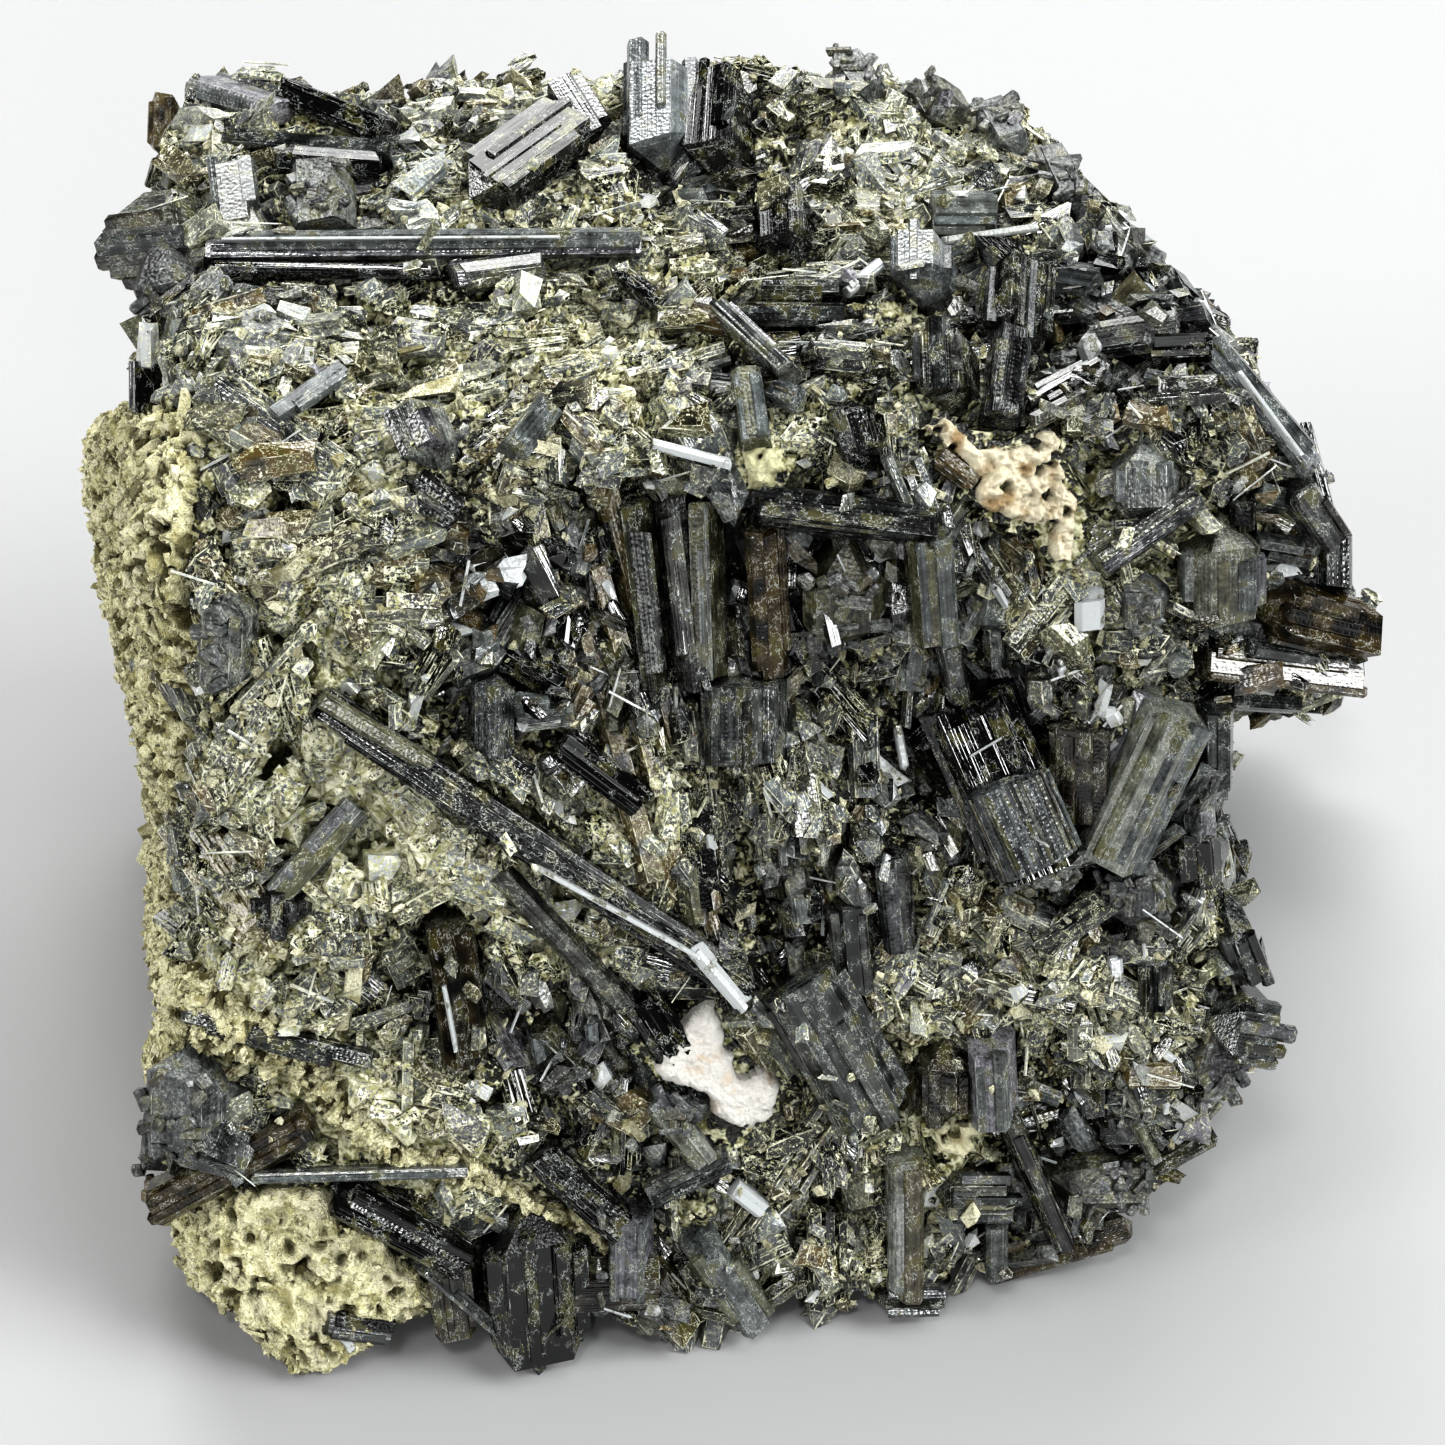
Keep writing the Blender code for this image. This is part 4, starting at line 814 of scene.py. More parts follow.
def prism_rows(chance, start, end, facing, width, thickness, roll, form, look):
    """The measures of one prominent crystal, as its body and the thin flutes or chips on its faces."""
    axis = unit(end - start)
    side = turned(unit(np.cross(axis, facing)), axis, roll)
    face = np.cross(side, axis)
    length = np.linalg.norm(end - start)
    middle = (start + end) / 2
    chisel = 0.8 if form == "chisel" else 0.0
    chisel = min(chisel, 0.9 * length / width)
    body = [(middle, axis, face, length, width, thickness, look, chisel, middle - face * thickness * 0.4)]
    flutes = []
    if look == "m":
        for _ in range(int(6 + width * 1.5)):
            across, along = chance.uniform(-0.42, 0.42), chance.uniform(-0.42, 0.42)
            high = 0.5 * thickness * (1 - 0.9 * across**2)
            place = middle + side * across * width + axis * along * length + face * (high - 0.12)
            way = unit(axis * chance.normal() + side * chance.normal())
            flutes.append((place, way, unit(face + chance.normal(size=3) * 0.3), chance.uniform(1.0, 2.6),
                           chance.uniform(0.6, 1.6), chance.uniform(0.4, 0.9), look, 0.3, place - face))
        return body, flutes
    number = max(1, round(width / (FLUTE_WIDTH if look == "l" else STEP_WIDTH)))
    spaced = (np.arange(number) + 0.5) / number - 0.5
    for across in spaced + chance.uniform(-0.3, 0.3, number) / number:
        edge = max(0, abs(across) - 0.28) / 0.22
        high = thickness * (0.48 - 0.5 * edge**1.5)
        lean = 35 * edge * np.sign(across) + chance.normal() * 4
        broad = width / number * chance.uniform(0.5, 1.25)
        deep = min(broad * 0.8, 0.5 * thickness)
        jut = chance.uniform(0.02, 0.14) + 0.04 * broad
        slack = chisel * abs(across) * width
        first = -length / 2 + slack + abs(chance.normal()) * 0.12 * length
        second = length / 2 - slack - abs(chance.normal()) * 0.12 * length
        if chance.random() < 0.5:
            first = -length / 2 + slack + chance.uniform(-0.1, 0.3)
        if chance.random() < 0.5:
            second = length / 2 - slack - chance.uniform(-0.1, 0.3)
        if second - first < 0.25 * length:
            continue
        place = middle + side * across * width + axis * (first + second) / 2
        place = place + face * (high + jut - deep / 2)
        flutes.append((place, axis, turned(face, axis, lean), second - first, broad, deep, look, 0.0,
                       place - face * thickness * 0.5))
    return body, flutes


def hidden_crystals(tree):
    """The ends, facing, width and thickness of crystals on the sides that aren't in the photograph."""
    chance = np.random.default_rng(HIDDEN_SEED)
    rows = []
    while len(rows) < HIDDEN_COUNT:
        direction = Vector(chance.normal(size=3)).normalized()
        spin, tilt = chance.uniform(-1, 1, 2)
        length = chance.uniform(*HIDDEN_LENGTH)
        width = chance.uniform(*HIDDEN_WIDTH)
        point, normal, _, _ = tree.ray_cast(Vector(HEART), direction)
        facing = normal.dot(Vector(TOWARDS_VIEWER))
        if facing > HIDDEN_FACING or point.z < HIDDEN_LOWEST or normal.x < -HIDDEN_FACING:
            continue
        tangent = normal.orthogonal().normalized()
        tangent = Matrix.Rotation(math.pi * spin, 3, normal) @ tangent
        axis = (tangent + normal * tilt * HIDDEN_TILT).normalized()
        middle = point + normal * width * HIDDEN_RISE
        tips = [middle - axis * length / 2, middle + axis * length / 2]
        places = photo_places(np.array([tip + normal * width / 2 for tip in tips]))
        if inside(places, OUTLINE).all():
            roll = HIDDEN_ROLL * tilt
            rows.append((np.array(tips[0]), np.array(tips[1]), np.array(normal), width,
                         width * HIDDEN_FLATNESS, roll, "chisel"))
    return rows


def look_values(codes, chance):
    values = np.array([LOOKS[code] for code in codes])
    values[:, 0] += chance.normal(size=len(values)) * 0.06
    values[:, 2] += chance.normal(size=len(values)) * 0.08
    return np.clip(values, 0, (1.3, 1, 1))


def from_rows(rows, section, rings, chance, broken=0.0):
    """The mesh of the crystals in rows."""
    middle, axis, facing = (np.array([row[i] for row in rows]) for i in (0, 1, 2))
    length, width, thickness = (np.array([row[i] for row in rows]) for i in (3, 4, 5))
    ends = np.array([row[7] for row in rows])
    feet = (np.array([row[8] for row in rows]), unit(facing))
    looks = look_values([row[6] for row in rows], chance)
    return prisms(middle, unit(axis), unit(facing), length, width, thickness, section, rings, chance,
                  ends, feet, looks, broken)


def sampled(chance, points, quads, normals, count, weight):
    """Random points of a surface and their normals."""
    first = points[quads[:, 2]] - points[quads[:, 0]]
    second = points[quads[:, 3]] - points[quads[:, 1]]
    area = np.linalg.norm(np.cross(first, second), axis=1) * weight
    chosen = chance.choice(len(quads), count, p=area / area.sum())
    share = chance.dirichlet((1, 1, 1, 1), count)
    corners = quads[chosen]
    return (
        np.einsum("ij,ijk->ik", share, points[corners]),
        unit(np.einsum("ij,ijk->ik", share, normals[corners])),
    )


def node_makers(tree):
    """Helpers that add nodes to a tree: put() sets or links a socket and the others add a node."""

    def put(socket, value):
        if isinstance(value, bpy.types.NodeSocket):
            tree.links.new(value, socket)
        elif isinstance(value, (tuple, list)):
            socket.default_value = (*value, 1) if socket.type == "RGBA" and len(value) == 3 else value
        else:
            socket.default_value = value

    def node(kind, out=0, settings=None, **inputs):
        made = tree.nodes.new(kind)
        for key, value in (settings or {}).items():
            setattr(made, key, value)
        for key, value in inputs.items():
            if key.startswith("at"):
                put(made.inputs[int(key[2:])], value)
            else:
                put(made.inputs[key.replace("_", " ")], value)
        return made.outputs[out]

    def attribute(key, out="Fac"):
        return node("ShaderNodeAttribute", out, {"attribute_name": key})

    def maths(operation, first, second=0.0, third=0.0, clamp=False):
        return node("ShaderNodeMath", 0, {"operation": operation, "use_clamp": clamp},
                    at0=first, at1=second, at2=third)

    def blend(share, first, second):
        return node("ShaderNodeMix", 2, {"data_type": "RGBA"}, at0=share, at6=first, at7=second)

    def step(value, low, high):
        return node("ShaderNodeMapRange", 0, {"interpolation_type": "SMOOTHSTEP"},
                    at0=value, at1=low, at2=high)

    def speckle(place, scale, detail=3.0, rough=0.55):
        return node("ShaderNodeTexNoise", 0, None,
                    Vector=place, Scale=scale, Detail=detail, Roughness=rough)

    def relief(shader, strength, distance, height):
        put(shader.inputs["Normal"],
            node("ShaderNodeBump", 0, None, Strength=strength, Distance=distance, Height=height))

    return put, node, attribute, maths, blend, step, speckle, relief


def new_material(name):
    """A new material, its shader and the helpers that add nodes to it."""
    material = bpy.data.materials.new(name)
    material.use_nodes = True
    shader = material.node_tree.nodes["Principled BSDF"]
    return material, shader, *node_makers(material.node_tree)


def stretched(node, place, amounts):
    return node("ShaderNodeVectorMath", 0, {"operation": "MULTIPLY"}, at0=place, at1=amounts)


def epidote_material():
    """Dark glassy to frosted crystals, fluted along their length, with pale edges and grains; the pale
    edges are partly chipped mineral and partly painted edge highlights.
    """
    material, shader, *tools = new_material("epidote_crystal")
    put, node, attribute, maths, blend, step, speckle, relief = tools
    place = attribute("place", "Vector")
    look = node("ShaderNodeSeparateXYZ", 0, None, Vector=attribute("look", "Vector")).node.outputs
    tone, brown, frost = look[0], look[1], look[2]
    edge = node("ShaderNodeSeparateXYZ", 0, None, Vector=attribute("edge", "Vector")).node.outputs
    rim = maths("MINIMUM", maths("MINIMUM", edge[0], edge[1]), edge[2])
    low = maths("SUBTRACT", 1.0, step(attribute("rise"), -0.1, 1.0))
    pale = attribute("pale")

    flutes = speckle(stretched(node, place, (3.0, 0.07, 3.0)), 1.4, 1.0, 0.6)
    fine = speckle(place, 2.3, 2.0, 0.75)
    broad = speckle(place, 0.4, 1.0)
    wisps = speckle(stretched(node, place, (1.0, 0.55, 1.0)), 1.25, 3.0, 0.68)

    level = maths("MULTIPLY_ADD", flutes, 0.7, maths("MULTIPLY_ADD", broad, 1.0, -0.96))
    level = maths("MULTIPLY_ADD", pale, 0.55, level)
    rough_share = maths("MULTIPLY_ADD", frost, 1.8, 0.3)
    level = maths("MULTIPLY_ADD", maths("SUBTRACT", fine, 0.5), rough_share, level)
    level = maths("POWER", maths("ADD", tone, level, clamp=True), 1.7)
    light = node("ShaderNodeValToRGB", 0, None, Fac=attribute("tint"))
    ramp = light.node.color_ramp
    for number, (at, colour) in enumerate(TINTS):
        stop = ramp.elements[number] if number < 2 else ramp.elements.new(at)
        stop.position = at
        stop.color = (*colour, 1)
    colour = blend(level, (0.003, 0.0035, 0.003), light)
    # Tones over 1 (the white look) turn the colour white: a painted highlight on the glint and lit-edge
    # strips, also used on some small crystals and needles.
    colour = blend(step(tone, 1.05, 1.2), colour, (0.46, 0.48, 0.48))
    colour = blend(maths("MULTIPLY", brown, step(broad, 0.3, 0.6)), colour, (0.10, 0.066, 0.018))
    stain = maths("MULTIPLY", step(maths("MULTIPLY_ADD", fine, 0.5, broad), 0.82, 0.96), 0.8)
    colour = blend(stain, colour, (0.075, 0.07, 0.022))

    powder = maths("MULTIPLY_ADD", pale, maths("MULTIPLY_ADD", low, 0.2, 0.3), fine)
    powder = step(powder, 0.71, 0.82)
    seam = maths("ABSOLUTE", maths("SUBTRACT", wisps, 0.5))
    seamed = step(maths("MULTIPLY_ADD", pale, 0.3, broad), 0.46, 0.56)
    seam = maths("MULTIPLY", step(seam, 0.02, 0.0), seamed)
    # Pale rims along the crystal edges: partly chipped mineral, partly painted highlights on the lit edges.
    rim_width = maths("MULTIPLY_ADD", pale, 0.16, maths("MULTIPLY_ADD", wisps, 0.6, -0.31))
    chipped_and_highlit_rim = step(maths("SUBTRACT", rim_width, rim), -0.03, 0.07)
    powder = maths("MAXIMUM", powder, maths("MULTIPLY", maths("MAXIMUM", seam, chipped_and_highlit_rim), 0.8))
    pale_colour = blend(step(wisps, 0.38, 0.6), (0.34, 0.335, 0.15), (0.84, 0.83, 0.65))
    greyer = step(maths("MULTIPLY_ADD", broad, 0.5, pale), 0.62, 0.4)
    pale_colour = blend(greyer, pale_colour, (0.42, 0.44, 0.42))
    colour = blend(powder, colour, pale_colour)
    put(shader.inputs["Base Color"], colour)

    rough = maths("MULTIPLY_ADD", frost, 0.45, 0.09)
    put(shader.inputs["Roughness"], maths("MAXIMUM", rough, maths("MULTIPLY", powder, 0.8)))
    shader.inputs["IOR"].default_value = 1.75
    height = maths("MULTIPLY_ADD", speckle(place, 3.2, 0.0), maths("MULTIPLY_ADD", frost, 1.4, 0.08),
                   maths("MULTIPLY", flutes, 0.5))
    relief(shader, 0.6, 0.00014, height)
    return material


def granular_material(name, low, high):
    """Pale yellow-green granular mineral, darker and browner where its pit value is high: painted shade in
    the pits of the crust, and at random on the loose pale grains.
    """
    material, shader, put, _, attribute, maths, blend, step, speckle, relief = new_material(name)
    place = attribute("place", "Vector")
    tint = speckle(place, 0.35, 1.0)
    fine = speckle(place, 2.6, 2.0, 0.75)
    colour = blend(step(fine, 0.25, 0.6), low, high)
    colour = blend(maths("MULTIPLY", step(tint, 0.5, 0.66), 0.8), colour, (0.80, 0.76, 0.56))
    colour = blend(maths("MULTIPLY", step(tint, 0.45, 0.33), 0.6), colour, (0.26, 0.22, 0.06))
    # painted shade: the pits and low places of the crust turn dark olive
    colour = blend(attribute("pit"), colour, (0.11, 0.10, 0.038))
    specks = step(speckle(place, 1.3, 2.0, 0.75), 0.6, 0.66)
    colour = blend(maths("MULTIPLY", specks, 0.6), colour, (0.10, 0.09, 0.035))
    put(shader.inputs["Base Color"], colour)
    shader.inputs["Roughness"].default_value = 0.85
    relief(shader, 0.9, 0.0008, fine)
    return material


def rock_material():
    """The mass between the crystals: dark broken facets with seams of pale grains."""
    material, shader, put, _, attribute, maths, blend, step, speckle, relief = new_material("rock_mass")
    place = attribute("place", "Vector")
    pale = attribute("pale")
    grains = speckle(place, 0.9, 2.0, 0.7)
    mask = step(maths("MULTIPLY_ADD", pale, 0.4, grains), 0.62, 0.7)
    dark = blend(speckle(place, 0.5, 1.0), (0.004, 0.005, 0.004), (0.03, 0.029, 0.02))
    light = blend(step(speckle(place, 1.6, 1.0, 0.7), 0.35, 0.65), (0.22, 0.215, 0.09), (0.70, 0.69, 0.50))
    put(shader.inputs["Base Color"], blend(mask, dark, light))
    put(shader.inputs["Roughness"], maths("MULTIPLY_ADD", mask, 0.5, 0.35))
    shader.inputs["IOR"].default_value = 1.6
    relief(shader, 0.9, 0.0008, grains)
    return material


def pale_material(name, low, high, stain, stain_from):
    """Sugary white or cream mineral with stains."""
    material, shader, put, _, attribute, maths, blend, step, speckle, relief = new_material(name)
    place = attribute("place", "Vector")
    fine = speckle(place, 3.0, 5.0, 0.7)
    colour = blend(fine, low, high)
    colour = blend(step(speckle(place, 0.4, 3.0), stain_from, stain_from + 0.15), colour, stain)
    colour = blend(maths("MULTIPLY", attribute("pit"), 0.8), colour, stain)
    put(shader.inputs["Base Color"], colour)
    shader.inputs["Roughness"].default_value = 0.6
    shader.inputs["IOR"].default_value = 1.55
    height = maths("MULTIPLY_ADD", speckle(place, 8.0, 3.0), 0.4, fine)
    relief(shader, 0.7, 0.0004, height)
    return material


def finer(directions, quads, cuts):
    """Directions and quads of part of the grid, with each quad cut into smaller ones."""
    share = np.arange(cuts + 1) / cuts
    u, v = np.meshgrid(share, share, indexing="ij")
    u, v = u.ravel(), v.ravel()
    weights = np.stack([(1 - u) * (1 - v), u * (1 - v), u * v, (1 - u) * v])
    points = unit(np.einsum("cs,qck->qsk", weights, directions[quads])).reshape(-1, 3)
    _, first, index = np.unique(np.round(points, 7), axis=0, return_index=True, return_inverse=True)
    index = index.reshape(len(quads), cuts + 1, cuts + 1)
    small = np.stack([index[:, :-1, :-1], index[:, 1:, :-1], index[:, 1:, 1:], index[:, :-1, 1:]], axis=-1)
    return points[first], small.reshape(-1, 4)


def edge_distance(places, polygon):
    """How far pixels lie inside a polygon, in pixels, or zero outside it."""
    nearest = np.full(len(places), np.inf)
    for start, end in zip(polygon, polygon[1:] + polygon[:1]):
        start, way = np.array(start, float), np.array(end, float) - np.array(start, float)
        share = np.clip((places - start) @ way / (way @ way), 0, 1)
        nearest = np.minimum(nearest, np.linalg.norm(places - start - share[:, None] * way, axis=1))
    return np.where(inside(places, polygon), nearest, 0)


def skin_patch(points, quads, normals, chosen, raised, pit):
    """A closed plate on the chosen quads, raised by some heights. Its rim runs straight down into the
    block and from there to a point inside."""
    quads = quads[chosen]
    used, quads = np.unique(quads, return_inverse=True)
    quads = quads.reshape(-1, 4)
    outer = points[used] + normals[used] * raised[used, None]
    root = points[used].mean(axis=0)
    root += (np.array(HEART) - root) * ROOT_SHARE
    edges = {(quad[i - 1], quad[i]) for quad in quads.tolist() for i in range(4)}
    border = sorted((a, b) for a, b in edges if (b, a) not in edges)
    rim = sorted({a for pair in border for a in pair})
    sunk = {a: len(used) + number for number, a in enumerate(rim)}
    ring = points[used[rim]] - normals[used[rim]] * RIM_DEPTH
    last = len(used) + len(rim)
    skirt = []
    for a, b in border:
        skirt += [(b, a, sunk[a]), (b, sunk[a], sunk[b]), (sunk[b], sunk[a], last)]
    whole = np.concatenate([outer, ring, [root]])
    return {
        "points": whole,
        "faces": np.concatenate([quads[:, [0, 1, 2]], quads[:, [0, 2, 3]], np.array(skirt)]),
        "place": whole,
        "pit": np.concatenate([pit[used], pit[used[rim]], [1]]),
    }


def granular_crust(chance, directions, quads, smooth, region, pits):
    """Granular crust over a region of the photograph, with its spongy grain and small pits."""
    places = photo_places(smooth)
    low, high = np.min(region, axis=0) - 20, np.max(region, axis=0) + 20
    near = ((places > low) & (places < high)).all(axis=1) & (smooth[:, 1] < CRUST_BACK + 3)
    near &= smooth[:, 2] > -2.5
    directions, quads = finer(directions, quads[near[quads].all(axis=1)], CRUST_CUTS)
    points = block_points(directions)
    normals = vertex_normals(points, quads)
    ragged = np.stack([noise_at(points, 4.0, 31), noise_at(points, 4.0, 32)], axis=1) * CRUST_EDGE
    loose = np.stack([noise_at(points, 14.0, 33), noise_at(points, 14.0, 34)], axis=1)
    ragged += loose * CRUST_WANDER * np.clip(1 - 4 * (normals @ TOWARDS_VIEWER), 0, 1)[:, None]
    depth = edge_distance(photo_places(points) + ragged, region) * PHOTO_SCALE
    covered = (depth > 0) & (normals @ TOWARDS_VIEWER > -0.45)
    covered &= points[:, 1] < CRUST_BACK + ragged[:, 0] * 0.3
    rough = noise_at(points, 1.1, 12)
    height = 0.5 * noise_at(points, 2.6, 11) + 0.4 * rough + 0.35 * noise_at(points, 0.6, 14)
    ridges = 1 - np.abs(noise_at(points, 2.0, 13)) * 4
    height += 0.45 * np.clip(ridges, -1, 1)
    height -= CRUST_RIM * (1 - np.clip(depth / CRUST_RIM, 0, 1)) ** 2
    pit = np.zeros(len(points))
    tree = KDTree(len(points))
    for number, point in enumerate(points):
        tree.insert(point, number)
    tree.balance()
    for seed in chance.choice(np.flatnonzero(covered), pits):
        radius = min(1.2, np.exp(chance.normal() * 0.5) * 0.4)
        way = unit(chance.normal(size=3) + (0, 0, 1.2))
        deep = chance.uniform(0.4, 1.1)
        for point, number, far in tree.find_range(points[seed], radius * 1.7):
            along = (np.array(point) - points[seed]) @ way
            far *= 1 + 0.9 * rough[number]
            sunk = max(0.0, 1 - (far * far - 0.6 * along * along) / radius**2)
            height[number] -= sunk * radius * deep
            pit[number] = max(pit[number], min(1, sunk * 1.6))
    # The pit value is painted shade, strongest in the pits and where the crust lies low.
    pit = np.clip(pit * 0.9 - 0.25 * height - 0.08, 0, 1)
    return skin_patch(points, quads, normals, covered[quads].all(axis=1), height, pit)


def grains_at(chance, places, normals, size, pit):
    """Small angular grains that lie on a surface."""
    count = len(places)
    size = np.exp(chance.normal(size=count) * 0.45) * size
    grains = prisms(places + normals * (size * 0.1)[:, None], unit(chance.normal(size=(count, 3))),
                    unit(chance.normal(size=(count, 3))), size * chance.uniform(0.8, 2.2, count), size,
                    size * chance.uniform(0.3, 1.0, count), BLADE * 1.2, PLAIN_ENDS, chance,
                    np.full(count, 0.2), (places, normals), np.zeros((count, 3)), 0.3)
    grains["pit"] = np.repeat(pit, len(grains["points"]) // count)
    return grains


def grains_on_skin(chance, skin, count, size):
    """Grains on the outer triangles of a skin, which are smaller than those of its skirt."""
    corners = skin["points"][skin["faces"]]
    across = np.cross(corners[:, 1] - corners[:, 0], corners[:, 2] - corners[:, 0])
    chosen = chance.choice(np.flatnonzero(np.linalg.norm(across, axis=1) < 0.6), count)
    pit = skin["pit"][skin["faces"][chosen, 0]]
    return grains_at(chance, corners[chosen].mean(axis=1), unit(across[chosen]), size,
                     np.clip(pit + chance.normal(size=count) * 0.15, 0, 1))


def pale_patch(name, directions, quads, smooth, bumps, gaps):
    """A rounded, sugary plate of pale mineral that follows its outline in the photograph."""
    outline, height = PATCHES[name]
    places = photo_places(smooth)
    low, high = np.min(outline, axis=0) - 25, np.max(outline, axis=0) + 25
    seen = vertex_normals(smooth, quads) @ TOWARDS_VIEWER > 0
    near = ((places > low) & (places < high)).all(axis=1) & seen
    directions, quads = finer(directions, quads[near[quads].all(axis=1)], PATCH_CUTS)
    points = block_points(directions)
    normals = vertex_normals(points, quads)
    ragged = np.stack([noise_at(points, 1.5, 41), noise_at(points, 1.5, 42)], axis=1) * 7
    depth = edge_distance(photo_places(points) + ragged, outline) * PHOTO_SCALE
    depth = np.minimum(depth, 3.0 * (gaps - noise_at(points, 1.3, 43)))
    rounded = np.clip(depth / PATCH_SLOPE, 0, 1)
    raised = height * np.sqrt(1 - (1 - rounded) ** 2) - 0.4
    swell = noise_at(points, 1.7, 21)
    raised += bumps * (0.7 * swell + 0.7 * noise_at(points, 0.7, 22) + 0.4 * noise_at(points, 0.35, 23))
    pit = np.clip(-2.2 * swell - 0.3, 0, 1)
    return skin_patch(points, quads, normals, (depth > 0)[quads].all(axis=1), raised, pit)


def make_lights():
    world = bpy.data.worlds.new("studio")
    bpy.context.scene.world = world
    world.use_nodes = True
    background = world.node_tree.nodes["Background"]
    put, node, _, maths = node_makers(world.node_tree)[:4]
    cells = node("ShaderNodeTexVoronoi", 1, None, Vector=node("ShaderNodeTexCoord"), Scale=STUDIO_CELLS)
    cell = maths("POWER", node("ShaderNodeSeparateColor", 0, None, Color=cells), STUDIO_CONTRAST)
    put(background.inputs["Strength"], maths("MULTIPLY_ADD", cell, STUDIO_BRIGHT, STUDIO_DARK))
    put(background.inputs["Color"], STUDIO_COLOUR)
    for name, place, size, power, colour in LIGHTS:
        light = bpy.data.lights.new(name, "AREA")
        light.shape = "RECTANGLE"
        light.size, light.size_y = size
        light.energy = power
        light.color = colour
        lamp = bpy.data.objects.new(name, light)
        bpy.context.scene.collection.objects.link(lamp)
        lamp.location = place
        lamp.rotation_euler = (Vector(place) - LIGHT_AIM).to_track_quat("Z", "Y").to_euler()


def make_floor():
    mesh = bpy.data.meshes.new("floor")
    ways = ((-1, -1, 0), (1, -1, 0), (1, 1, 0), (-1, 1, 0))
    mesh.from_pydata([Vector(way) * FLOOR_REACH for way in ways], [], [(0, 1, 2, 3)])
    floor = bpy.data.objects.new("floor", mesh)
    bpy.context.scene.collection.objects.link(floor)
    material = bpy.data.materials.new("floor")
    material.use_nodes = True
    shader = material.node_tree.nodes["Principled BSDF"]
    shader.inputs["Base Color"].default_value = FLOOR_COLOUR
    shader.inputs["Roughness"].default_value = FLOOR_ROUGHNESS
    mesh.materials.append(material)


def make_camera():
    data = bpy.data.cameras.new("camera")
    data.sensor_width = SENSOR_WIDTH
    data.lens = SENSOR_WIDTH * VIEW_DISTANCE / (PHOTO_SIDE * PHOTO_SCALE)
    camera = bpy.data.objects.new("camera", data)
    bpy.context.scene.collection.objects.link(camera)
    camera.location = (VIEWER + CENTRING) * MM
    camera.rotation_euler = (math.pi / 2 - VIEW_ELEVATION, 0, 0)
    bpy.context.scene.camera = camera


def shifted_inside(places, outline, reach):
    """Which pixels lie in an outline once they are shifted by a reach to one of four sides."""
    ways = ((reach, 0), (-reach, 0), (0, reach), (0, -reach))
    return np.any([inside(places + way, outline) for way in ways], axis=0)


def covered_places(smooth, seen):
    """Which points of the block lie under the crust, near it, and under a patch."""
    places = photo_places(smooth)
    in_crust = inside(places, CRUST_REGION) & (smooth[:, 1] < CRUST_BACK) & (seen > -0.3)
    in_crust |= inside(places, CREAM_LEDGE) & (seen > 0)
    by_crust = shifted_inside(places, CRUST_REGION, CRUST_REACH) & (smooth[:, 1] < CRUST_BACK)
    by_crust |= in_crust | shifted_inside(places, CREAM_LEDGE, CRUST_REACH)
    under_patch = np.zeros(len(smooth), bool)
    for outline, _ in PATCHES.values():
        under_patch |= inside(places, outline) | shifted_inside(places, outline, PATCH_REACH)
    return in_crust, by_crust, under_patch & (seen > 0)


def rock_mesh(chance, smooth, quads, normals, in_crust, by_crust, under_patch):
    """The faceted mass between the crystals, sunk below the surface of the block."""
    sink = np.full(len(smooth), BASE_SINK) + 1.1 * noise_at(smooth, 5.0, 1)
    for count, height, tilt in FACETS:
        sink += facet_heights(smooth, chance, count, height, tilt)
    sink = np.where(by_crust, np.minimum(sink, NEAR_CRUST_SINK), np.maximum(sink, LEAST_SINK))
    sink = np.where(in_crust, CRUST_SINK, sink)
    sink = np.where(under_patch, LEAST_SINK, sink)
    points = smooth - normals * sink[:, None]
    return {
        "points": points,
        "faces": np.concatenate([quads[:, [0, 1, 2]], quads[:, [0, 2, 3]]]),
        "place": points,
        "pale": paleness(smooth, normals),
    }


def placed_crystals(chance, block):
    """The crystals of the tables, among them the painted highlight strips, and those on the hidden sides,
    with their flutes.
    """
    rows = []
    for first, second, width, thickness, low, high, roll, form, look in CRYSTALS + SMALL_CRYSTALS_AND_PAINTED_HIGHLIGHTS:
        start, end = crystal_ends(block, first, second, low, high)
        broad = width * -PHOTO_SCALE * nearness((start + end) / 2) / VIEW_DISTANCE
        rows.append((start, end, TOWARDS_VIEWER, broad, thickness, roll, form, look))
    rows += [(*row, None) for row in hidden_crystals(block)]
    bodies = []
    flutes = []
    for *row, look in rows:
        body, more = prism_rows(chance, *row, look or "kssgm"[chance.integers(5)])
        bodies += body
        flutes += more
    fluting = from_rows(flutes, HEXAGON, PLAIN_ENDS, chance)
    fluting["edge"] += 1
    return merged([from_rows(bodies, FLAT_SECTION, BEVELLED_ENDS, chance), fluting])


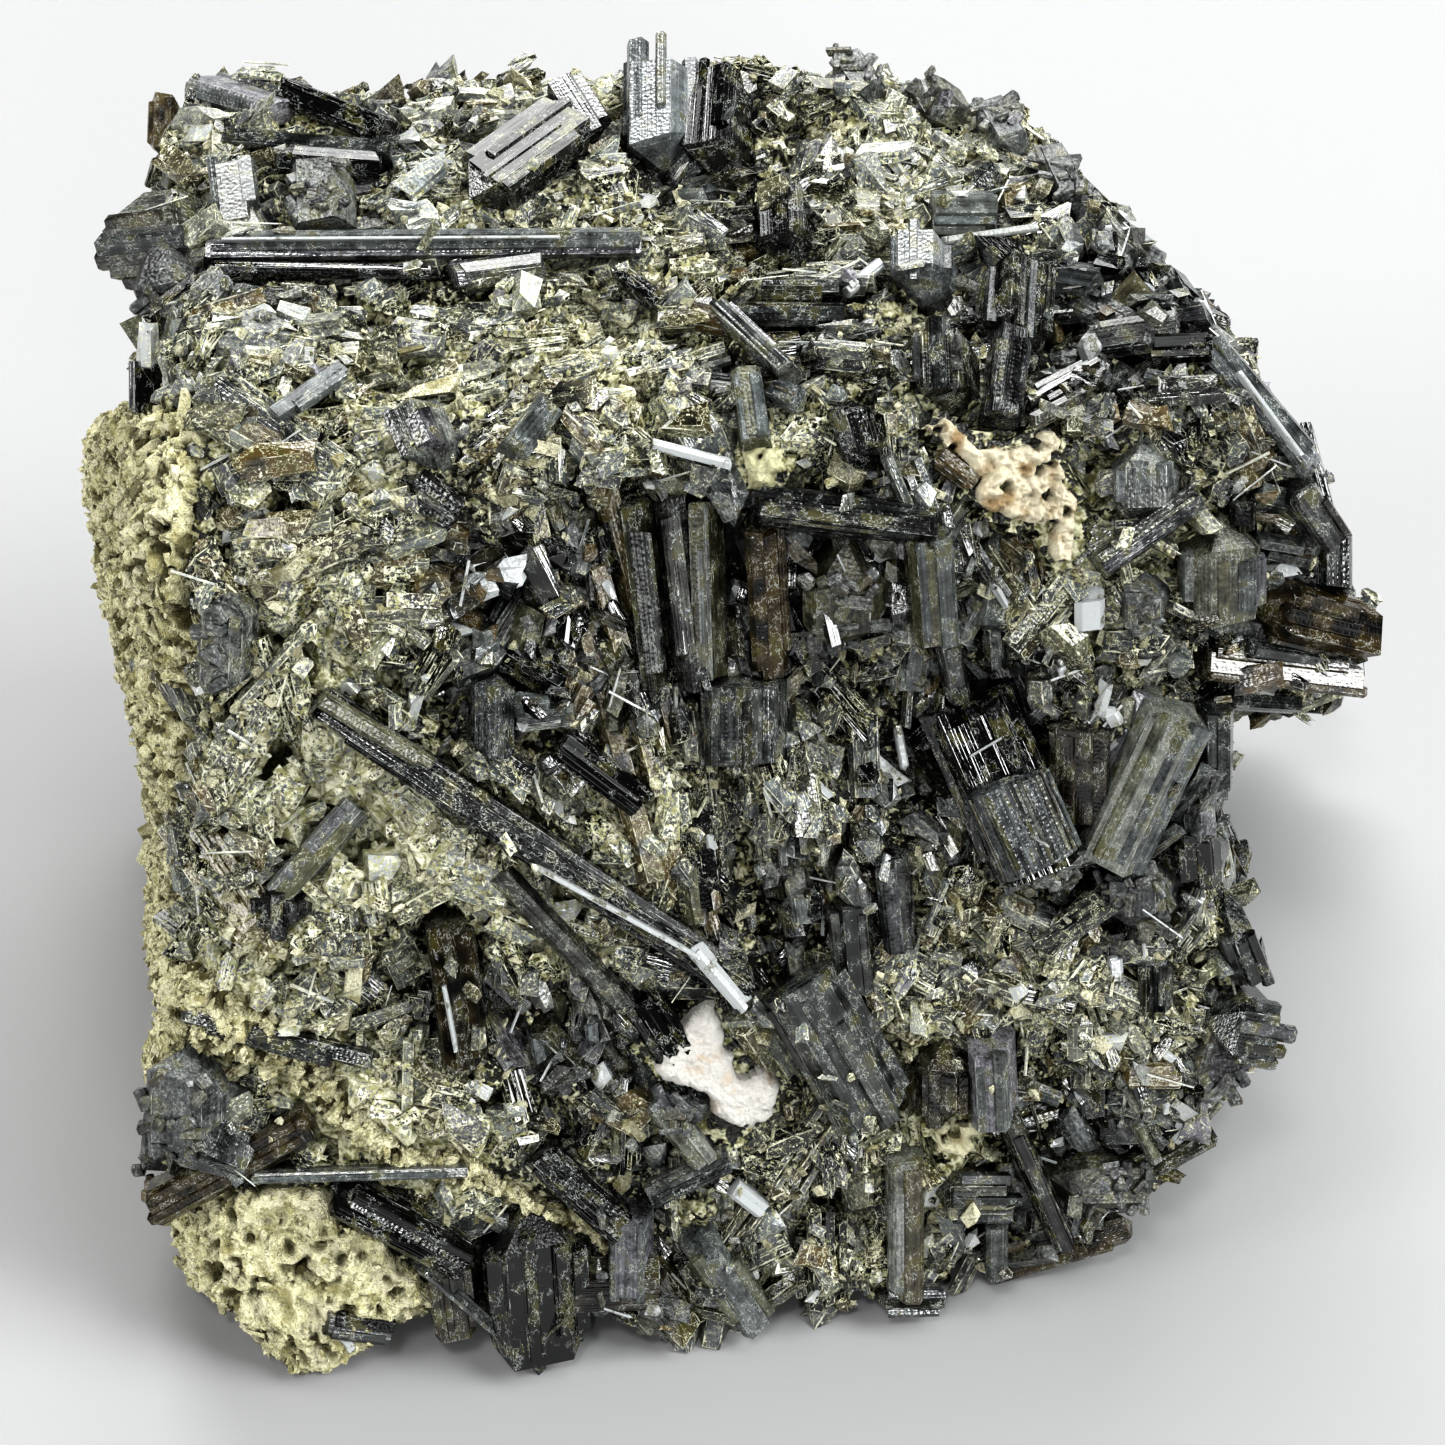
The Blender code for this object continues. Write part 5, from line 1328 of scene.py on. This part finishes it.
def medium_crystals(chance, surface, weight, heroes):
    """Broken chunks, and stacks of plates and prisms, that fill the mass between placed crystals."""
    count = MEDIUM_COUNT
    points, outward = sampled(chance, *surface, count, weight)
    around = photo_places(points)
    beside_patch = np.zeros(count, bool)
    for outline, _ in PATCHES.values():
        beside_patch |= shifted_inside(around, outline, PATCH_REACH)
    lying = flow_directions(points, outward, chance, 0.35)
    kinds = chance.choice(3, count, p=(0.45, 0.33, 0.22))
    standing = chance.random(count) < np.where(kinds == 0, 0.35, 0.2)
    tilt = np.abs(chance.normal(size=count)) * 0.28
    tilt = np.where(standing, chance.uniform(0.6, 1.4, count), tilt)
    axis = unit(lying * np.cos(tilt)[:, None] + outward * np.sin(tilt)[:, None])
    width = np.exp(chance.normal(size=count) * 0.38) * MEDIUM_WIDTH
    length = width * chance.uniform(1.1, 3.0, count)
    thickness = width * chance.uniform(0.5, 1.0, count)
    facing = unit(outward + chance.normal(size=(count, 3)) * 0.35)
    top = MEDIUM_TOP - MEDIUM_SPREAD * chance.random(count) ** 1.2
    for number, point in enumerate(points):
        if heroes.ray_cast(Vector(VIEWER), Vector(unit(point - VIEWER)))[0]:
            top[number] -= PLACED_SINK
    top -= np.where(beside_patch & (outward @ TOWARDS_VIEWER > 0), PATCH_SINK, 0)
    extent = 0.5 * (length * np.abs(np.sin(tilt)) + thickness * np.cos(tilt))
    middle = points + outward * (top - extent)[:, None]
    chunks = []
    bodies = []
    flutes = []
    for i, kind in enumerate(kinds):
        look = "kkksssggmmmmmlbo"[chance.integers(16)]
        half = axis[i] * length[i] / 2
        foot = points[i] - outward[i] * 1.6
        if kind == 0:
            chunks.append((middle[i], axis[i], facing[i], length[i] * 0.8, width[i] * 1.1,
                           thickness[i] * 1.15, look, 0.0, foot))
        elif kind == 1:
            form = "chisel" if chance.random() < 0.5 else "flat"
            body, more = prism_rows(chance, middle[i] - half, middle[i] + half, facing[i], width[i],
                                    thickness[i], 0, form, "s" if look == "m" else look)
            bodies += [row[:8] + (foot,) for row in body]
            flutes += [row[:8] + (foot,) for row in more[:4]]
        else:
            plates = int(chance.integers(2, 5))
            side = unit(np.cross(axis[i], facing[i]))
            for number in range(plates):
                share = (number + 0.5) / plates - 0.5
                place = middle[i] + side * share * width[i] + axis[i] * chance.normal() * 0.12 * length[i]
                place = place + facing[i] * chance.normal() * 0.1 * thickness[i]
                bodies.append((place, axis[i] + chance.normal(size=3) * 0.04, facing[i],
                               length[i] * chance.uniform(0.6, 1.0), width[i] / plates * 1.1,
                               thickness[i] * chance.uniform(0.7, 1.1), look, 0.0, foot))
    chunks = from_rows(chunks, HEXAGON, CHUNK_RINGS, chance, 0.13)
    stacks = from_rows(bodies + flutes, HEXAGON, PLAIN_ENDS, chance, 0.03)
    for mesh in (chunks, stacks):
        mesh["pale"] = paleness(mesh["points"], np.repeat([TOWARDS_VIEWER], len(mesh["points"]), axis=0))
    return chunks, stacks


def landed(chance, surface, weight, carrier, prominent_from, count, spared):
    """Points where rays drop onto what is built so far, with the normals there, those of the block and
    the depths under it. Most rays that meet a placed crystal, a share spared, are left out."""
    found = []
    points, outward = sampled(chance, *surface, count, weight)
    for point, normal in zip(points, outward):
        hit, face, index, _ = carrier.ray_cast(Vector(point + normal * DROP_HEIGHT), Vector(-normal))
        if hit is None or (index >= prominent_from and chance.random() < spared):
            continue
        face = np.array(face)
        if face @ normal < 0:
            face = -face
        found.append((np.array(hit), face, normal, (point - np.array(hit)) @ normal))
    return (np.array(column) for column in zip(*found))


def small_crystals(chance, hits, faces, outs):
    """Small crystals as two meshes, one of six-sided prisms and one of blades."""
    count = len(hits)
    leaning = unit(outs + 0.6 * faces)
    lying = flow_directions(hits, leaning, chance, 0.5)
    tilt = np.abs(chance.normal(size=count)) * 0.4
    axis = unit(lying * np.cos(tilt)[:, None] + leaning * np.sin(tilt)[:, None])
    width = np.exp(chance.normal(size=count) * 0.4) * SMALL_WIDTH
    length = width * chance.uniform(0.8, 2.2, count)
    thickness = width * chance.uniform(0.35, 0.9, count)
    facing = unit(leaning + chance.normal(size=(count, 3)) * 0.35)
    middle = hits + leaning * (0.12 * thickness)[:, None]
    codes = np.array(list("kkssssgggmmmbow"))[chance.integers(15, size=count)]
    looks = look_values(codes, chance)
    half = chance.random(count) < 0.5
    parts = []
    for chosen, section in ((half, HEXAGON), (~half, BLADE)):
        parts.append(prisms(middle[chosen], axis[chosen], facing[chosen], length[chosen], width[chosen],
                            thickness[chosen], section, PLAIN_ENDS, chance,
                            np.where(chance.random(chosen.sum()) < 0.4, 0.5, 0.0),
                            (hits[chosen] - leaning[chosen] * 0.1, leaning[chosen]), looks[chosen], 0.28))
        parts[-1]["edge"] += 0.05
    return parts


def needle_mesh(chance, hits, outs):
    """Thin pale needles that lie on the crystals."""
    count = len(hits)
    lying = flow_directions(hits, outs, chance, 0.6)
    axis = unit(lying + outs * (chance.normal(size=count) * 0.08)[:, None])
    length = chance.uniform(*NEEDLE_LENGTH, count)
    width = chance.uniform(*NEEDLE_WIDTH, count)
    return prisms(hits + outs * 0.25, axis, unit(outs + chance.normal(size=(count, 3)) * 0.3), length,
                  width, width * 0.7, BLADE, PLAIN_ENDS, chance, np.zeros(count), (hits - outs, outs),
                  look_values(np.array(list("gwwo"))[chance.integers(4, size=count)], chance))


def main():
    chance = np.random.default_rng(SEED)
    directions, quads = sphere_grid(BASE_CELLS)
    smooth = block_points(directions)
    normals = vertex_normals(smooth, quads)
    if np.einsum("ij,ij->i", normals, directions).mean() < 0:
        quads = quads[:, ::-1]
        normals = -normals
    seen = normals @ TOWARDS_VIEWER
    in_crust, by_crust, under_patch = covered_places(smooth, seen)
    base = rock_mesh(chance, smooth, quads, normals, in_crust, by_crust, under_patch)
    prominent = placed_crystals(chance, tree_of([{"points": smooth, "faces": base["faces"]}]))

    low_down = smooth[quads][:, :, 2].mean(axis=1) < FOOT_HEIGHT
    weight = np.where(seen[quads].mean(axis=1) > 0.05, SEEN_WEIGHT, HIDDEN_WEIGHT)
    weight = weight * np.where(low_down, FOOT_WEIGHT, 1.0)
    weight = np.where(in_crust[quads].any(axis=1), CRUST_WEIGHT, weight)
    weight = np.where(under_patch[quads].any(axis=1), 0.0, weight)
    surface = (smooth, quads, normals)
    chunks, stacks = medium_crystals(chance, surface, weight, tree_of([prominent]))
    prominent["pale"] *= 0.3

    carrier = tree_of([base, chunks, stacks, prominent])
    prominent_from = len(base["faces"]) + len(chunks["faces"]) + len(stacks["faces"])
    ground = (chance, surface, weight, carrier, prominent_from)
    hits, faces, outs, _ = landed(*ground, SMALL_COUNT, 0.94)
    small, blades = small_crystals(chance, hits, faces, outs)
    hits, _, outs, _ = landed(*ground, NEEDLE_COUNT, 0.9)
    needles = needle_mesh(chance, hits, outs)
    hits, faces, outs, depths = landed(*ground, GRAIN_TRIES, 0.97)
    amount = paleness(hits, outs) + 0.25 * (depths > 0.8)
    order = np.argsort(-(amount + chance.random(len(amount)) * 0.55))[:GRAIN_COUNT]
    grains = grains_at(chance, hits[order], faces[order], GRAIN_SIZE, chance.random(GRAIN_COUNT) ** 2 * 0.6)

    epidote = epidote_material()
    make_piece("rock_mass", base, rock_material())
    for name, mesh in (
        ("prominent_crystals_and_painted_highlights", prominent), ("broken_crystals", chunks), ("stacked_crystals", stacks),
        ("small_crystals", small), ("small_blades", merged([blades, needles])),
    ):
        make_piece(name, mesh, epidote)
    pale = granular_material("pale_grains", (0.34, 0.335, 0.17), (0.82, 0.81, 0.62))
    make_piece("pale_grains", grains, pale)
    crust = granular_material("crust", (0.52, 0.49, 0.24), (0.90, 0.87, 0.60))
    for name, grains_name, region, pits, count, node in (
        ("crust_surface", "crust_grains", CRUST_REGION, CRUST_PITS, CRUST_GRAINS, "granular_crust"),
        ("cream_ledge", "ledge_grains", CREAM_LEDGE, LEDGE_PITS, LEDGE_GRAINS, "epidote_crystals"),
    ):
        skin = granular_crust(chance, directions, quads, smooth, region, pits)
        make_piece(name, skin, crust, node)
        loose = grains_on_skin(chance, skin, count, CRUST_GRAIN_SIZE)
        make_piece(grains_name, loose, crust, node)
    for name, bumps, gaps, slot, colours in PATCH_LOOKS:
        mesh = pale_patch(name, directions, quads, smooth, bumps, gaps)
        make_piece(name + "_surface", mesh, pale_material(name, *colours), name)


make_camera()
make_lights()
make_floor()
main()
scene = bpy.context.scene
scene.view_settings.view_transform = "Standard"
scene.view_settings.look = "High Contrast"
scene.cycles.max_bounces = 1
